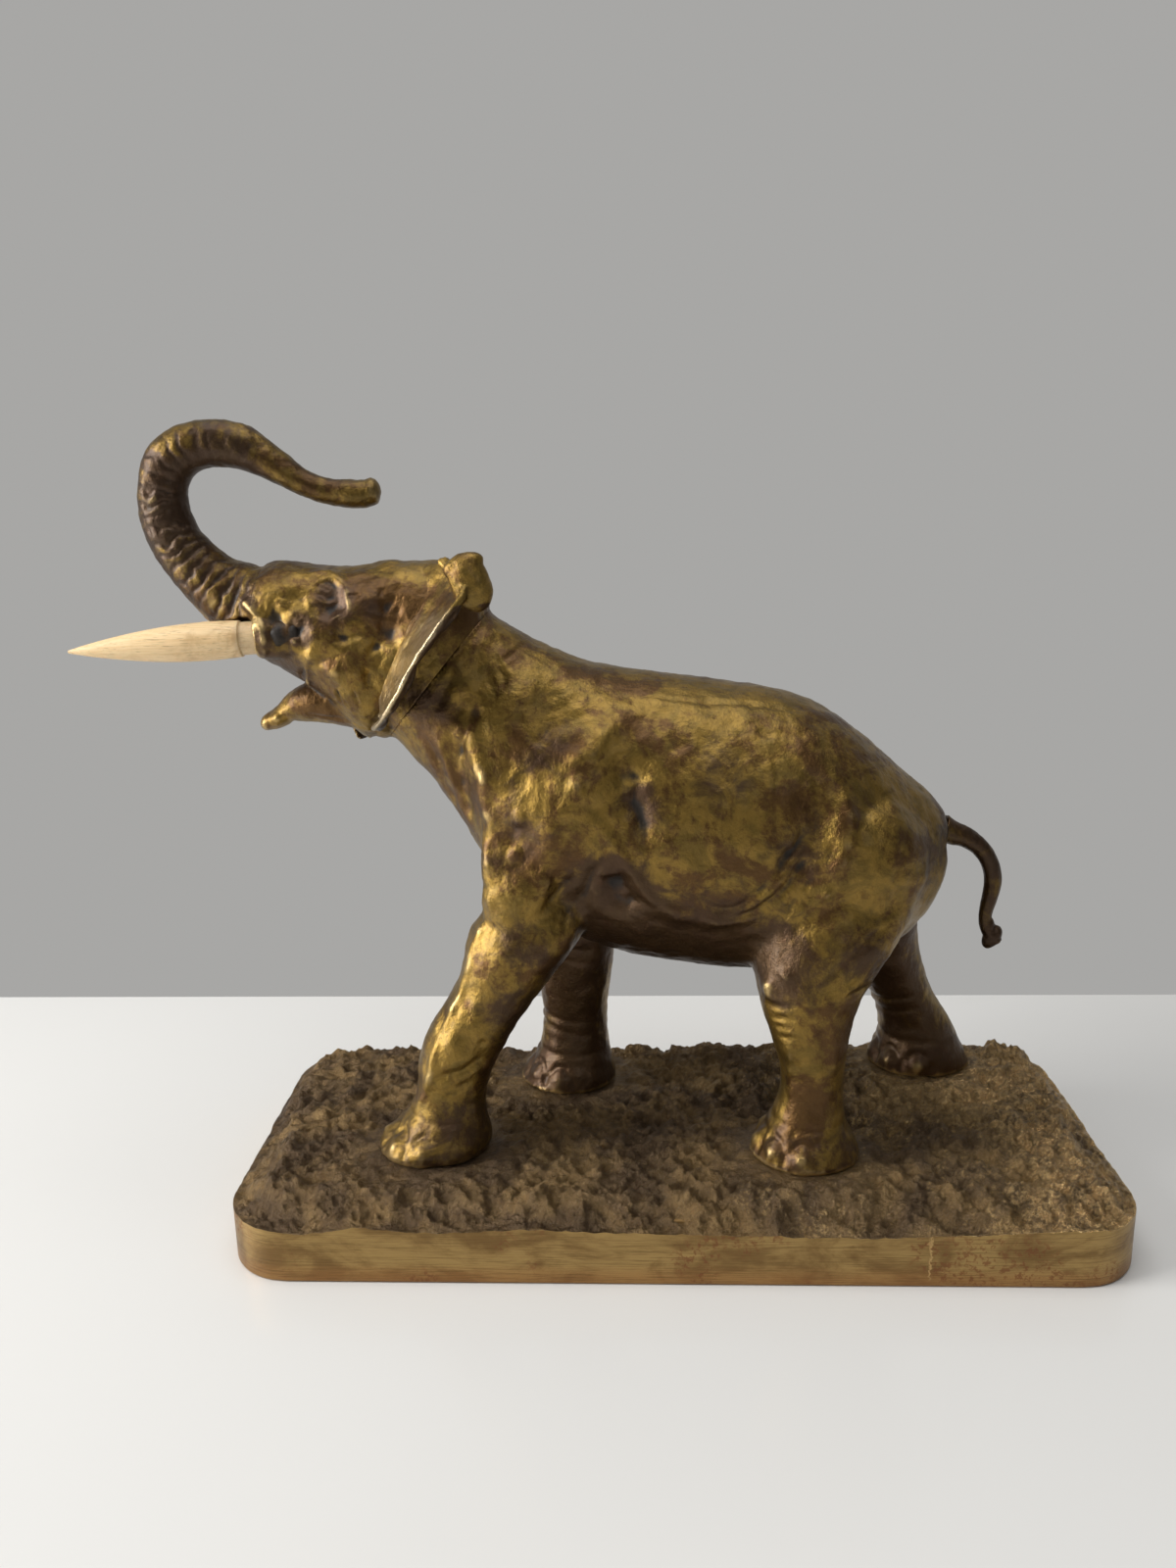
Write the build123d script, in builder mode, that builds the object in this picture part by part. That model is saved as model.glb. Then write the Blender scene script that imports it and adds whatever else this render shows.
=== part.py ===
"""Cast brass elephant with a raised trunk, walking on a rocky ground plate, with two turned bone tusks.

Millimetres. +Z is up, the animal faces -X, and its left side is at -Y.
The origin is the centre of the ground plate, on the plane that it rests on.
The animal is cast in sections that meet in spigot joints, and four screws hold its feet from below.
"""
import os
from math import cos, radians, sin

from build123d import *

# Ground plate
PLATE_LENGTH = 231.0
PLATE_WIDTH = 96.0
RIM_HEIGHT = 14.5
GROUND_HEIGHT = 21.0  # where the feet stand
CORNER_R = 17.0
GROUND_INSET_X = 9.0
GROUND_INSET_FRONT = 13.0
GROUND_INSET_BACK = 9.0
WALL = 5.0
HOLLOW_SIDE_HEIGHT = 8.5
HOLLOW_HEIGHT = 15.5
RIB_WIDTH = 9.0
PAD_MARGIN = 1.0  # raised ground around a foot

# Screws that hold the feet
SCREW_R = 2.45
TAPPED_R = 2.5
SCREW_CLEARANCE_R = 2.75
SCREW_HEAD_R = 4.5
SCREW_HEAD_HEIGHT = 3.4
SLOT_WIDTH = 1.2
SLOT_DEPTH = 1.4
SCREW_HEAD_CHAMFER = 0.5
WASHER_R = 5.8
WASHER_HOLE_R = 2.65
WASHER_THICKNESS = 1.0
SPOT_FACE_MARGIN = 0.6
SCREW_GRIP = 10.0  # length of thread in the foot
TAPPED_DEPTH = 12.0

# Joints between the castings
MID_Y = 4.0  # the animal's middle plane
FIT = 0.05  # radial clearance of every spigot and pin
PIN_R = 1.5
SMALL_PIN_R = 0.8

NECK_JOINT = (-60.5, 146.0)
NECK_RISE = 40.0
NECK_SPIGOT_R = 8.0
NECK_SPIGOT_LENGTH = 10.0
TRUNK_JOINT = (-106.0, 163.0)
TRUNK_RISE = 6.0
TRUNK_SPIGOT_R = 4.2
TRUNK_SPIGOT_LENGTH = 9.0
TAIL_JOINT = (71.9, 102.6)
TAIL_RISE = 208.0
TAIL_SPIGOT_R = 1.9
TAIL_SPIGOT_LENGTH = 8.0
TAIL_SEAT_R = 7.5  # the rump is cut flat around the tail
TAIL_SEAT_DEPTH = 10.0

# Tusks
TUSK_LENGTH = 44.0  # of the body, without its spigot
TUSK_R = 4.9
TUSK_EDGE = 0.4
# radius and distance from the seat along the taper
TUSK_TAPER = ((4.6, 0.4), (TUSK_R, 9), (4.4, 20), (3.15, 30), (1.6, 38.5), (0.35, 43.8))
TUSK_SPIGOT_R = 4.2
TUSK_SPIGOT_LENGTH = 11.0
TUSK_SHOW = 3.6  # how much of the spigot shows outside the socket
TUSK_SEAT_X = -108.8
TUSK_SEAT_Z = 157.0
TUSK_SEAT_SIDE = 11.0  # from the middle plane
RIGHT_TUSK_LOWER = 1.5
TUSK_DROP = 3.0
TUSK_SPREAD = 5.0
SOCKET_R = 5.2
SOCKET_BACK_R = 6.4
SOCKET_LENGTH = 15.0
SOCKET_CLEARANCE = 0.1
TUSK_CLEARANCE = 0.3
TUSK_GROOVE_LENGTH = 12.0  # relief in the trunk's root beside each tusk
SOCKET_GROOVE_LENGTH = 3.0

# Ears: an outline on a plane that leans with the neck and sweeps back
EAR_ROOT = (-67.0, 159.0)
EAR_LEAN = 63.4
EAR_SWEEP = {-1: 17.0, 1: -8.0}  # the right ear is set further forward and lower
EAR_SET_DOWN = {-1: 0.0, 1: 15.0}
EAR_THICKNESS = 2.4
# distance out from the middle plane, distance up the ear
EAR_OUTLINE = (
    (7, -17), (14, -24), (22, -18), (28, -4), (31, 8),
    (29, 16), (22, 20), (13, 19), (7, 10),
)
EAR_PIN_LEVEL = 2.0
EAR_PIN_SPAN = (8.0, 22.0)
EAR_PIN_ENTRY = 4.0  # the hole starts this far inside the pin's inner end

# Each leg from shoulder or hip to sole: centre x, centre y, height, half length, half width
LEGS = {
    "front_left": (
        (-31, -6, 106, 18, 10), (-35.8, -10, 85, 13.8, 12),
        (-43.2, -13, 70, 12.9, 11), (-51.8, -15, 57, 11.3, 9.6),
        (-58, -16, 44, 10.2, 9), (-60, -16.5, 35, 9.7, 8.8),
        (-62, -17, 28, 12, 11.2), (-65, -17, 21, 15, 13.5),
    ),
    "front_right": (
        (-25, 12, 106, 14, 10), (-26, 16, 84, 13, 11), (-27.5, 19, 64, 11.2, 10), (-28, 21, 49, 10, 9),
        (-28.5, 22, 36, 9.8, 9), (-29, 22, 28, 11.5, 11), (-30.8, 22, 21, 14.5, 13.5),
    ),
    "hind_left": (
        (46, -6, 106, 18, 10), (42.5, -12, 87, 19.5, 13.5),
        (36.5, -16, 71, 16, 12.5), (34.8, -18.5, 58, 11.4, 10.2),
        (35.6, -19.5, 47, 8.6, 8.5), (35.2, -20, 34, 8.9, 8.6),
        (34.7, -20, 27.5, 11.5, 11), (34.2, -20, 21, 14.5, 13.5),
    ),
    "hind_right": (
        (48, 14, 106, 17, 10), (51, 19, 87, 18, 13), (56, 24, 72, 15, 12), (62.3, 27.5, 60, 11, 10.2),
        (67.5, 29.5, 48, 9.4, 9.1), (73, 31, 37, 10.2, 9.4),
        (75.2, 31.5, 29.5, 12, 11.2), (75.7, 32, 21, 15.4, 12.8),
    ),
}
# Neck and torso: centre x, height, half height, half width, rise of the section's axis
TORSO = (
    (-60.5, 146, 21, 15, 40), (-55.8, 141, 22, 16.5, 32), (-50.3, 135.2, 24, 18.5, 25),
    (-39.5, 123.3, 30, 23, 20), (-17, 109.3, 37.5, 27, 8),
    (5, 105, 39.2, 28.5, 0), (23, 103, 38.6, 29, 0), (41, 100, 35, 28, 0), (55, 96.5, 27.5, 23.5, 0),
    (65, 95.5, 19.5, 16.5, 0), (72.5, 99, 8.5, 8, 0),
)
# Skull and cheeks, from the neck to the face
SKULL = (
    (-60.5, 146, 21, 15, 40), (-68, 152.5, 24.4, 16, 24),
    (-80, 153, 21.6, 16.5, 9), (-91, 158, 16.6, 15.5, 4),
    (-99, 161.3, 14.4, 14, 4), (-106, 163, 12, 12, 6),
)
# Lower jaw, to its tip
JAW = (
    (-70, 143, 12.5, 11, 10), (-82, 139.7, 8.6, 9, 2),
    (-91, 139.2, 6.2, 7.8, -4), (-97.5, 138.2, 4.8, 6.4, -10),
    (-103, 135.8, 2.6, 4.2, -26), (-108.6, 132.6, 1.4, 2.4, -34),
)
# Trunk, from the face to its tip
TRUNK = (
    (-106, 163, 12, 12, 6), (-113, 166.6, 9.4, 9.2, 38),
    (-120.4, 172, 7.7, 7.4, 45), (-127.2, 180.7, 6.8, 6.4, 62),
    (-129.9, 191.8, 6.4, 5.9, 90), (-126.4, 201.5, 6.4, 5.7, 130),
    (-117.2, 205.1, 6.1, 5.4, 175), (-107.3, 203.6, 5.5, 4.9, 203),
    (-98.5, 198.3, 3.9, 4.2, 209), (-89.5, 193.6, 3.2, 3.6, 200),
    (-81.5, 192.1, 3.4, 3.6, 182), (-74.4, 192.6, 3, 3.4, 174),
)
# Tail, from the rump to its tip: centre x, height, radius, rise
TAIL = (
    (71.9, 102.6, 3.8, 208), (75.5, 100.8, 3.2, 209), (79.8, 99, 2.7, 215),
    (83.6, 95.6, 2.4, 230), (86, 90.6, 2.3, 255), (86.3, 85, 2.2, 275),
    (85.1, 78.7, 1.8, 276), (85.8, 73.8, 1.8, 244), (88.4, 69.8, 1.7, 236),
)


def across(x, z, rise, y=MID_Y):
    """A plane across a form that travels towards -X and rises at the given angle. Its local x is -Y."""
    return Plane((x, y, z), x_dir=(0, -1, 0), z_dir=(-cos(radians(rise)), 0, sin(radians(rise))))


def ovals_across(stations):
    """Loft the ovals of the neck, torso, skull, jaw or trunk."""
    sections = []
    for x, z, half_height, half_width, rise in stations:
        with BuildSketch(across(x, z, rise)) as oval:
            Ellipse(half_width, half_height)
        sections.append(oval.sketch)
    loft(sections)


def level_ovals(stations):
    """Loft the level ovals of a leg."""
    sections = []
    for x, y, z, half_length, half_width in stations:
        with BuildSketch(Plane((x, y, z))) as oval:
            Ellipse(half_length, half_width)
        sections.append(oval.sketch)
    loft(sections)


def rod(plane, radius, start, end, mode=Mode.ADD):
    """A round peg, or its hole, along a plane's normal."""
    with BuildSketch(plane.offset(start)) as disc:
        Circle(radius)
    extrude(disc.sketch, amount=end - start, mode=mode)


def tusk_plane(side):
    """Seat of a tusk, whose normal points along the tusk. Side is -1 on the left and 1 on the right."""
    drop = radians(TUSK_DROP)
    spread = radians(TUSK_SPREAD)
    seat_z = TUSK_SEAT_Z - (RIGHT_TUSK_LOWER if side > 0 else 0)
    direction = (-cos(drop) * cos(spread), side * cos(drop) * sin(spread), -sin(drop))
    return Plane((TUSK_SEAT_X, MID_Y + side * TUSK_SEAT_SIDE, seat_z), x_dir=(0, 1, 0), z_dir=direction)


def ear_plane(side):
    """Plane of an ear: its local x points out of the head and its local y up along the ear."""
    lean = radians(EAR_LEAN)
    sweep = radians(EAR_SWEEP[side])
    outward = Vector(sin(sweep) * sin(lean), side * cos(sweep), -sin(sweep) * cos(lean))
    upward = Vector(cos(lean), 0, sin(lean))
    root = Vector(EAR_ROOT[0], MID_Y, EAR_ROOT[1]) - upward * EAR_SET_DOWN[side]
    return Plane(root, x_dir=outward, z_dir=outward.cross(upward))


def ear_pin_plane(side):
    """Plane across an ear's pin, which runs outwards in the middle of the ear's thickness."""
    ear = ear_plane(side)
    start = ear.origin + ear.y_dir * EAR_PIN_LEVEL
    return Plane(start, x_dir=ear.y_dir, z_dir=ear.x_dir)


NECK_PLANE = across(*NECK_JOINT, NECK_RISE)
TRUNK_PLANE = across(*TRUNK_JOINT, TRUNK_RISE)
TAIL_PLANE = across(*TAIL_JOINT, TAIL_RISE)
SIDES = {"left": -1, "right": 1}
# Cross pins run in from the right flank, and each span is measured from the middle plane
NECK_PIN_AXIS = Plane((-56.7, MID_Y, 142.8), x_dir=(1, 0, 0), z_dir=(0, 1, 0))
TRUNK_PIN_AXIS = Plane((-101.0, MID_Y, 162.5), x_dir=(1, 0, 0), z_dir=(0, 1, 0))
TAIL_PIN_AXIS = Plane((67.9, MID_Y, 104.7), x_dir=(1, 0, 0), z_dir=(0, 1, 0))
NECK_PIN_SPAN = (-6.0, 13.0)
TRUNK_PIN_SPAN = (-3.5, 10.0)
TAIL_PIN_SPAN = (-1.5, 8.0)
HOLE_RUNOUT = 25.0


def pin_hole(plane, radius, span):
    """A blind hole, open at the right flank."""
    rod(plane, radius + FIT, span[0] - FIT, span[1] + HOLE_RUNOUT, Mode.SUBTRACT)


# Ground plate: brushed upright rim, rising ground, hollow underneath with one rib across
GROUND_CENTRE_Y = (GROUND_INSET_FRONT - GROUND_INSET_BACK) / 2
GROUND_LENGTH = PLATE_LENGTH - 2 * GROUND_INSET_X
GROUND_DEPTH = PLATE_WIDTH - GROUND_INSET_FRONT - GROUND_INSET_BACK
HOLLOW_R = CORNER_R - WALL


def plate_outline(height, centre_y, length, width, corner):
    """Rounded rectangle of the plate's outline or hollow."""
    with BuildSketch(Plane((0, centre_y, height))) as outline:
        RectangleRounded(length, width, corner)
    return outline.sketch


with BuildPart() as base_casting:
    rim = plate_outline(0, 0, PLATE_LENGTH, PLATE_WIDTH, CORNER_R)
    extrude(rim, amount=RIM_HEIGHT)
    rim_top = plate_outline(RIM_HEIGHT, 0, PLATE_LENGTH, PLATE_WIDTH, CORNER_R)
    ground = plate_outline(GROUND_HEIGHT, GROUND_CENTRE_Y, GROUND_LENGTH, GROUND_DEPTH, CORNER_R)
    loft([rim_top, ground])
    for stations in LEGS.values():
        foot_x, foot_y, _, half_length, half_width = stations[-1]
        with BuildSketch(Plane((foot_x, foot_y, HOLLOW_SIDE_HEIGHT))):
            Ellipse(half_length + PAD_MARGIN, half_width + PAD_MARGIN)
        extrude(amount=GROUND_HEIGHT - HOLLOW_SIDE_HEIGHT)
    hollow_length = PLATE_LENGTH - 2 * WALL
    hollow_width = PLATE_WIDTH - 2 * WALL
    mouth = plate_outline(0, 0, hollow_length, hollow_width, HOLLOW_R)
    extrude(mouth, amount=HOLLOW_SIDE_HEIGHT, mode=Mode.SUBTRACT)
    shoulder = plate_outline(HOLLOW_SIDE_HEIGHT, 0, hollow_length, hollow_width, HOLLOW_R)
    ceiling_length = GROUND_LENGTH - 2 * WALL
    ceiling_width = GROUND_DEPTH - 2 * WALL
    ceiling = plate_outline(HOLLOW_HEIGHT, GROUND_CENTRE_Y, ceiling_length, ceiling_width, HOLLOW_R)
    loft([shoulder, ceiling], mode=Mode.SUBTRACT)
    with BuildSketch():
        Rectangle(RIB_WIDTH, PLATE_WIDTH - WALL)
    extrude(amount=HOLLOW_SIDE_HEIGHT + 1)
    with BuildSketch(Plane((0, GROUND_CENTRE_Y, HOLLOW_SIDE_HEIGHT))):
        Rectangle(RIB_WIDTH, GROUND_DEPTH - WALL)
    extrude(amount=GROUND_HEIGHT - HOLLOW_SIDE_HEIGHT - WALL / 2)
    for stations in LEGS.values():
        foot_x, foot_y = stations[-1][:2]
        under_foot = Plane((foot_x, foot_y, 0))
        rod(under_foot, SCREW_CLEARANCE_R, HOLLOW_HEIGHT - 1, GROUND_HEIGHT + 1, Mode.SUBTRACT)
        rod(under_foot, WASHER_R + SPOT_FACE_MARGIN, HOLLOW_SIDE_HEIGHT - 1, HOLLOW_HEIGHT, Mode.SUBTRACT)

# Torso with the neck's stump and the four legs, cast in one
with BuildPart() as body_casting:
    ovals_across(TORSO)
    for stations in LEGS.values():
        level_ovals(stations)
    rod(NECK_PLANE, NECK_SPIGOT_R + FIT, -NECK_SPIGOT_LENGTH - FIT, 1, Mode.SUBTRACT)
    rod(TAIL_PLANE, TAIL_SPIGOT_R + FIT, -TAIL_SPIGOT_LENGTH - FIT, 0, Mode.SUBTRACT)
    with BuildSketch(TAIL_PLANE):
        Circle(TAIL_SEAT_R)
    extrude(amount=TAIL_SEAT_DEPTH, mode=Mode.SUBTRACT)
    for stations in LEGS.values():
        foot_x, foot_y = stations[-1][:2]
        rod(Plane((foot_x, foot_y, GROUND_HEIGHT)), TAPPED_R, -1, TAPPED_DEPTH, Mode.SUBTRACT)
    pin_hole(NECK_PIN_AXIS, PIN_R, NECK_PIN_SPAN)
    pin_hole(TAIL_PIN_AXIS, SMALL_PIN_R, TAIL_PIN_SPAN)

# Skull with the open jaw, the tusk sockets and the neck's spigot
with BuildPart() as head_casting:
    ovals_across(SKULL)
    ovals_across(JAW)
    for side in SIDES.values():
        socket = tusk_plane(side)
        with BuildSketch(socket.offset(-TUSK_SHOW)):
            Circle(SOCKET_R)
        with BuildSketch(socket.offset(-TUSK_SHOW - SOCKET_LENGTH)):
            Circle(SOCKET_BACK_R)
        loft()
    add(body_casting.part, mode=Mode.SUBTRACT)
    rod(NECK_PLANE, NECK_SPIGOT_R, -NECK_SPIGOT_LENGTH, 1)
    rod(TRUNK_PLANE, TRUNK_SPIGOT_R + FIT, -TRUNK_SPIGOT_LENGTH - FIT, 1, Mode.SUBTRACT)
    for side in SIDES.values():
        socket = tusk_plane(side)
        rod(socket, TUSK_SPIGOT_R + FIT, -TUSK_SPIGOT_LENGTH - TUSK_SHOW - FIT, 0, Mode.SUBTRACT)
        rod(ear_pin_plane(side), SMALL_PIN_R + FIT, EAR_PIN_SPAN[0] - FIT, EAR_PIN_SPAN[1], Mode.SUBTRACT)
    pin_hole(TRUNK_PIN_AXIS, SMALL_PIN_R, TRUNK_PIN_SPAN)
    rod(NECK_PIN_AXIS, PIN_R + FIT, NECK_PIN_SPAN[0] - FIT, NECK_PIN_SPAN[1], Mode.SUBTRACT)

# Raised trunk, with its spigot into the face
with BuildPart() as trunk_casting:
    ovals_across(TRUNK)
    rod(TRUNK_PLANE, TRUNK_SPIGOT_R, -TRUNK_SPIGOT_LENGTH, 1)
    rod(TRUNK_PIN_AXIS, SMALL_PIN_R + FIT, TRUNK_PIN_SPAN[0] - FIT, TRUNK_PIN_SPAN[1], Mode.SUBTRACT)
    for side in SIDES.values():
        socket = tusk_plane(side)
        rod(socket, TUSK_R + TUSK_CLEARANCE, -TUSK_SHOW, TUSK_GROOVE_LENGTH, Mode.SUBTRACT)
        groove_start = -TUSK_SHOW - SOCKET_GROOVE_LENGTH
        rod(socket, SOCKET_R + SOCKET_CLEARANCE, groove_start, SOCKET_CLEARANCE - TUSK_SHOW, Mode.SUBTRACT)

# Tail, with its spigot into the rump
with BuildPart() as tail:
    for x, z, radius, rise in TAIL:
        with BuildSketch(across(x, z, rise)):
            Circle(radius)
    loft()
    rod(TAIL_PLANE, TAIL_SPIGOT_R, -TAIL_SPIGOT_LENGTH, 1)
    rod(TAIL_PIN_AXIS, SMALL_PIN_R + FIT, TAIL_PIN_SPAN[0] - FIT, TAIL_PIN_SPAN[1], Mode.SUBTRACT)

pieces = {
    "base_casting": base_casting,
    "body_casting": body_casting,
    "head_casting": head_casting,
    "trunk_casting": trunk_casting,
    "tail": tail,
}

# Ears, fitted against the skull and held by a pin each
for name, side in SIDES.items():
    with BuildPart() as ear:
        with BuildSketch(ear_plane(side).offset(-EAR_THICKNESS / 2)):
            with BuildLine():
                Spline(*EAR_OUTLINE, periodic=True)
            make_face()
        extrude(amount=EAR_THICKNESS)
        add(head_casting.part, mode=Mode.SUBTRACT)
        hole_start = EAR_PIN_SPAN[0] - EAR_PIN_ENTRY
        rod(ear_pin_plane(side), SMALL_PIN_R + FIT, hole_start, EAR_PIN_SPAN[1] + FIT, Mode.SUBTRACT)
    pieces[f"ear_{name}"] = ear
    with BuildPart() as ear_pin:
        rod(ear_pin_plane(side), SMALL_PIN_R, *EAR_PIN_SPAN)
    pieces[f"ear_pin_{name}"] = ear_pin

# Tusks, turned from bone: a slim tapering body and a spigot that shows as a narrow band
for name, side in SIDES.items():
    seat = tusk_plane(side)
    radius_by_length = Plane(seat.origin, x_dir=seat.x_dir, z_dir=seat.x_dir.cross(seat.z_dir))
    tusk_axis = Axis(seat.origin, seat.z_dir)
    with BuildPart() as tusk:
        with BuildSketch(radius_by_length):
            with BuildLine():
                Polyline((0, TUSK_LENGTH), (0, 0), (TUSK_TAPER[0][0] - TUSK_EDGE, 0), TUSK_TAPER[0])
                Spline(*TUSK_TAPER)
                Line(TUSK_TAPER[-1], (0, TUSK_LENGTH))
            make_face()
        revolve(axis=tusk_axis)
        rod(seat, TUSK_SPIGOT_R, -TUSK_SHOW - TUSK_SPIGOT_LENGTH, 0)
    pieces[f"tusk_{name}"] = tusk

# Cross pins of the neck, the trunk and the tail
for name, plane, radius, span in (
    ("neck_pin", NECK_PIN_AXIS, PIN_R, NECK_PIN_SPAN),
    ("trunk_pin", TRUNK_PIN_AXIS, SMALL_PIN_R, TRUNK_PIN_SPAN),
    ("tail_pin", TAIL_PIN_AXIS, SMALL_PIN_R, TAIL_PIN_SPAN),
):
    with BuildPart() as pin:
        rod(plane, radius, *span)
    pieces[name] = pin

# Screws and washers under the plate, one of each to a foot
for name, stations in LEGS.items():
    foot_x, foot_y = stations[-1][:2]
    with BuildPart() as washer:
        with BuildSketch(Plane((foot_x, foot_y, HOLLOW_HEIGHT - WASHER_THICKNESS))):
            Circle(WASHER_R)
            Circle(WASHER_HOLE_R, mode=Mode.SUBTRACT)
        extrude(amount=WASHER_THICKNESS)
    pieces[f"foot_washer_{name}"] = washer
    head_top = HOLLOW_HEIGHT - WASHER_THICKNESS
    with BuildPart() as screw:
        rod(Plane((foot_x, foot_y, head_top)), SCREW_HEAD_R, -SCREW_HEAD_HEIGHT, 0)
        chamfer(screw.edges().group_by(Axis.Z)[0], SCREW_HEAD_CHAMFER)
        rod(Plane((foot_x, foot_y, head_top)), SCREW_R, 0, GROUND_HEIGHT - head_top + SCREW_GRIP)
        with BuildSketch(Plane((foot_x, foot_y, head_top - SCREW_HEAD_HEIGHT))):
            Rectangle(2 * SCREW_HEAD_R + 1, SLOT_WIDTH)
        extrude(amount=SLOT_DEPTH, mode=Mode.SUBTRACT)
    pieces[f"foot_screw_{name}"] = screw

os.makedirs("parts", exist_ok=True)
for name, piece in pieces.items():
    piece.part.label = name
    export_step(piece.part, f"parts/{name}.step")
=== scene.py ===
"""Looks of the cast brass elephant: chased skin, patina, rocky ground plate and bone tusks.

Lengths in the tables are millimetres in the part's own frame; MM turns them into Blender's metres.
"""
import bmesh
import bpy
import math
import numpy as np
from mathutils import Matrix, Vector, noise
from mathutils.bvhtree import BVHTree
from mathutils.kdtree import KDTree


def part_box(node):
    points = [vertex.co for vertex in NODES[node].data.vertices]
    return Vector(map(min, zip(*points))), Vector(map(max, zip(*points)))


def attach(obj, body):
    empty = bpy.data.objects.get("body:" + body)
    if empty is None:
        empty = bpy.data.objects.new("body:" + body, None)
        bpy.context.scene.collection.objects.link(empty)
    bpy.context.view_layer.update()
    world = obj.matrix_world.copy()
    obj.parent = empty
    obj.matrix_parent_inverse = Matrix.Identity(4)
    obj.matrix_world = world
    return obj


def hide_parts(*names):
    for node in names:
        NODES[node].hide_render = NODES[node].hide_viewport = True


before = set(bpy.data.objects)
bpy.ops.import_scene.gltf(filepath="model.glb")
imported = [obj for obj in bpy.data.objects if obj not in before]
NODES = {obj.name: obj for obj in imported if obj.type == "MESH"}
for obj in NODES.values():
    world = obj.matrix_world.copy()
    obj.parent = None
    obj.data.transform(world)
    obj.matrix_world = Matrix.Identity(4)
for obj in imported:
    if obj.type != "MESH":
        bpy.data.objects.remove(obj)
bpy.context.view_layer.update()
MM = 0.001
LEFT, RIGHT = -1, 1
MID_Y = 4.0  # the animal's middle plane


# ------------------------------------------------------------------ shader sums
class Wire:
    """A socket of a finish's node tree, so that sums on it read as expressions."""

    def __init__(self, tree, socket):
        self.tree = tree
        self.socket = socket

    def sum(self, operation, *terms):
        made = self.tree.nodes.new("ShaderNodeMath")
        made.operation = operation
        for number, term in enumerate(terms):
            plug(self.tree, made.inputs[number], term)
        return Wire(self.tree, made.outputs[0])

    def __add__(self, other):
        return self.sum("ADD", self, other)

    __radd__ = __add__

    def __sub__(self, other):
        return self.sum("SUBTRACT", self, other)

    def __rsub__(self, other):
        return self.sum("SUBTRACT", other, self)

    def __mul__(self, other):
        return self.sum("MULTIPLY", self, other)

    __rmul__ = __mul__

    def size(self):
        """The value without its sign."""
        return self.sum("ABSOLUTE", self)


def plug(tree, socket, value):
    """Link a wire to a socket, or set a plain value on it."""
    if isinstance(value, Wire):
        tree.links.new(value.socket, socket)
    else:
        socket.default_value = value


class Finish:
    """A procedural material with one Principled shader."""

    def __init__(self, name, **constants):
        self.material = bpy.data.materials.new(name)
        self.material.use_nodes = True
        self.tree = self.material.node_tree
        self.shader = self.tree.nodes["Principled BSDF"]
        for socket, value in constants.items():
            self.shader.inputs[socket.replace("_", " ")].default_value = value

    def node(self, kind, settings, sockets, out=0):
        """Add a node: its settings first, then its sockets by name or number."""
        made = self.tree.nodes.new("ShaderNode" + kind)
        for name, value in settings.items():
            setattr(made, name, value)
        for name, value in sockets.items():
            plug(self.tree, made.inputs[name], value)
        return Wire(self.tree, made.outputs[out])

    def place(self, stretch=(1, 1, 1), turn=(0, 0, 0)):
        """Object coordinates, stretched along the axes and turned."""
        where = self.node("TexCoord", {}, {}, "Object")
        return self.node("Mapping", {}, {"Vector": where, "Scale": stretch, "Rotation": turn})

    def cloud(self, where, size, detail=4.0, roughness=0.55, warp=0.0):
        """Noise with features of about this many millimetres, from 0 to 1."""
        settings = {"Vector": where, "Scale": 1.0 / (size * MM), "Detail": detail, "Roughness": roughness}
        settings["Distortion"] = warp
        return self.node("TexNoise", {}, settings)

    def ramp(self, value, low, high):
        """0 below low, 1 above high, smooth between."""
        limits = {"Value": value, "From Min": low, "From Max": high}
        return self.node("MapRange", {"interpolation_type": "SMOOTHSTEP"}, limits)

    def blend(self, share, first, second):
        """A colour between two colours."""
        sockets = {0: share, 6: first, 7: second}
        return self.node("Mix", {"data_type": "RGBA"}, sockets, 2)

    def painted(self, name):
        """A value stored on the mesh."""
        return self.node("Attribute", {"attribute_name": name}, {}, "Fac")

    def set(self, **wires):
        for socket, wire in wires.items():
            plug(self.tree, self.shader.inputs[socket.replace("_", " ")], wire)

    def bump(self, height, depth, strength=1.0, under=None):
        sockets = {"Height": height, "Distance": depth * MM, "Strength": strength}
        if under is not None:
            sockets["Normal"] = under
        return self.node("Bump", {}, sockets)


def colour(red, green, blue):
    return (red, green, blue, 1.0)


BRASS = colour(0.255, 0.158, 0.036)
GOLD = colour(0.50, 0.355, 0.150)
BROWN = colour(0.088, 0.042, 0.017)
OLIVE = colour(0.150, 0.098, 0.025)
PLUM = colour(0.060, 0.031, 0.015)
# Pale colour of the painted highlight on the ears' front faces.
EAR_HIGHLIGHT_PALE = colour(0.55, 0.445, 0.285)
SOOT = colour(0.010, 0.007, 0.005)
COPPER = colour(0.24, 0.10, 0.045)
EARTH = colour(0.135, 0.090, 0.052)
SAND = colour(0.28, 0.185, 0.085)


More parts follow.
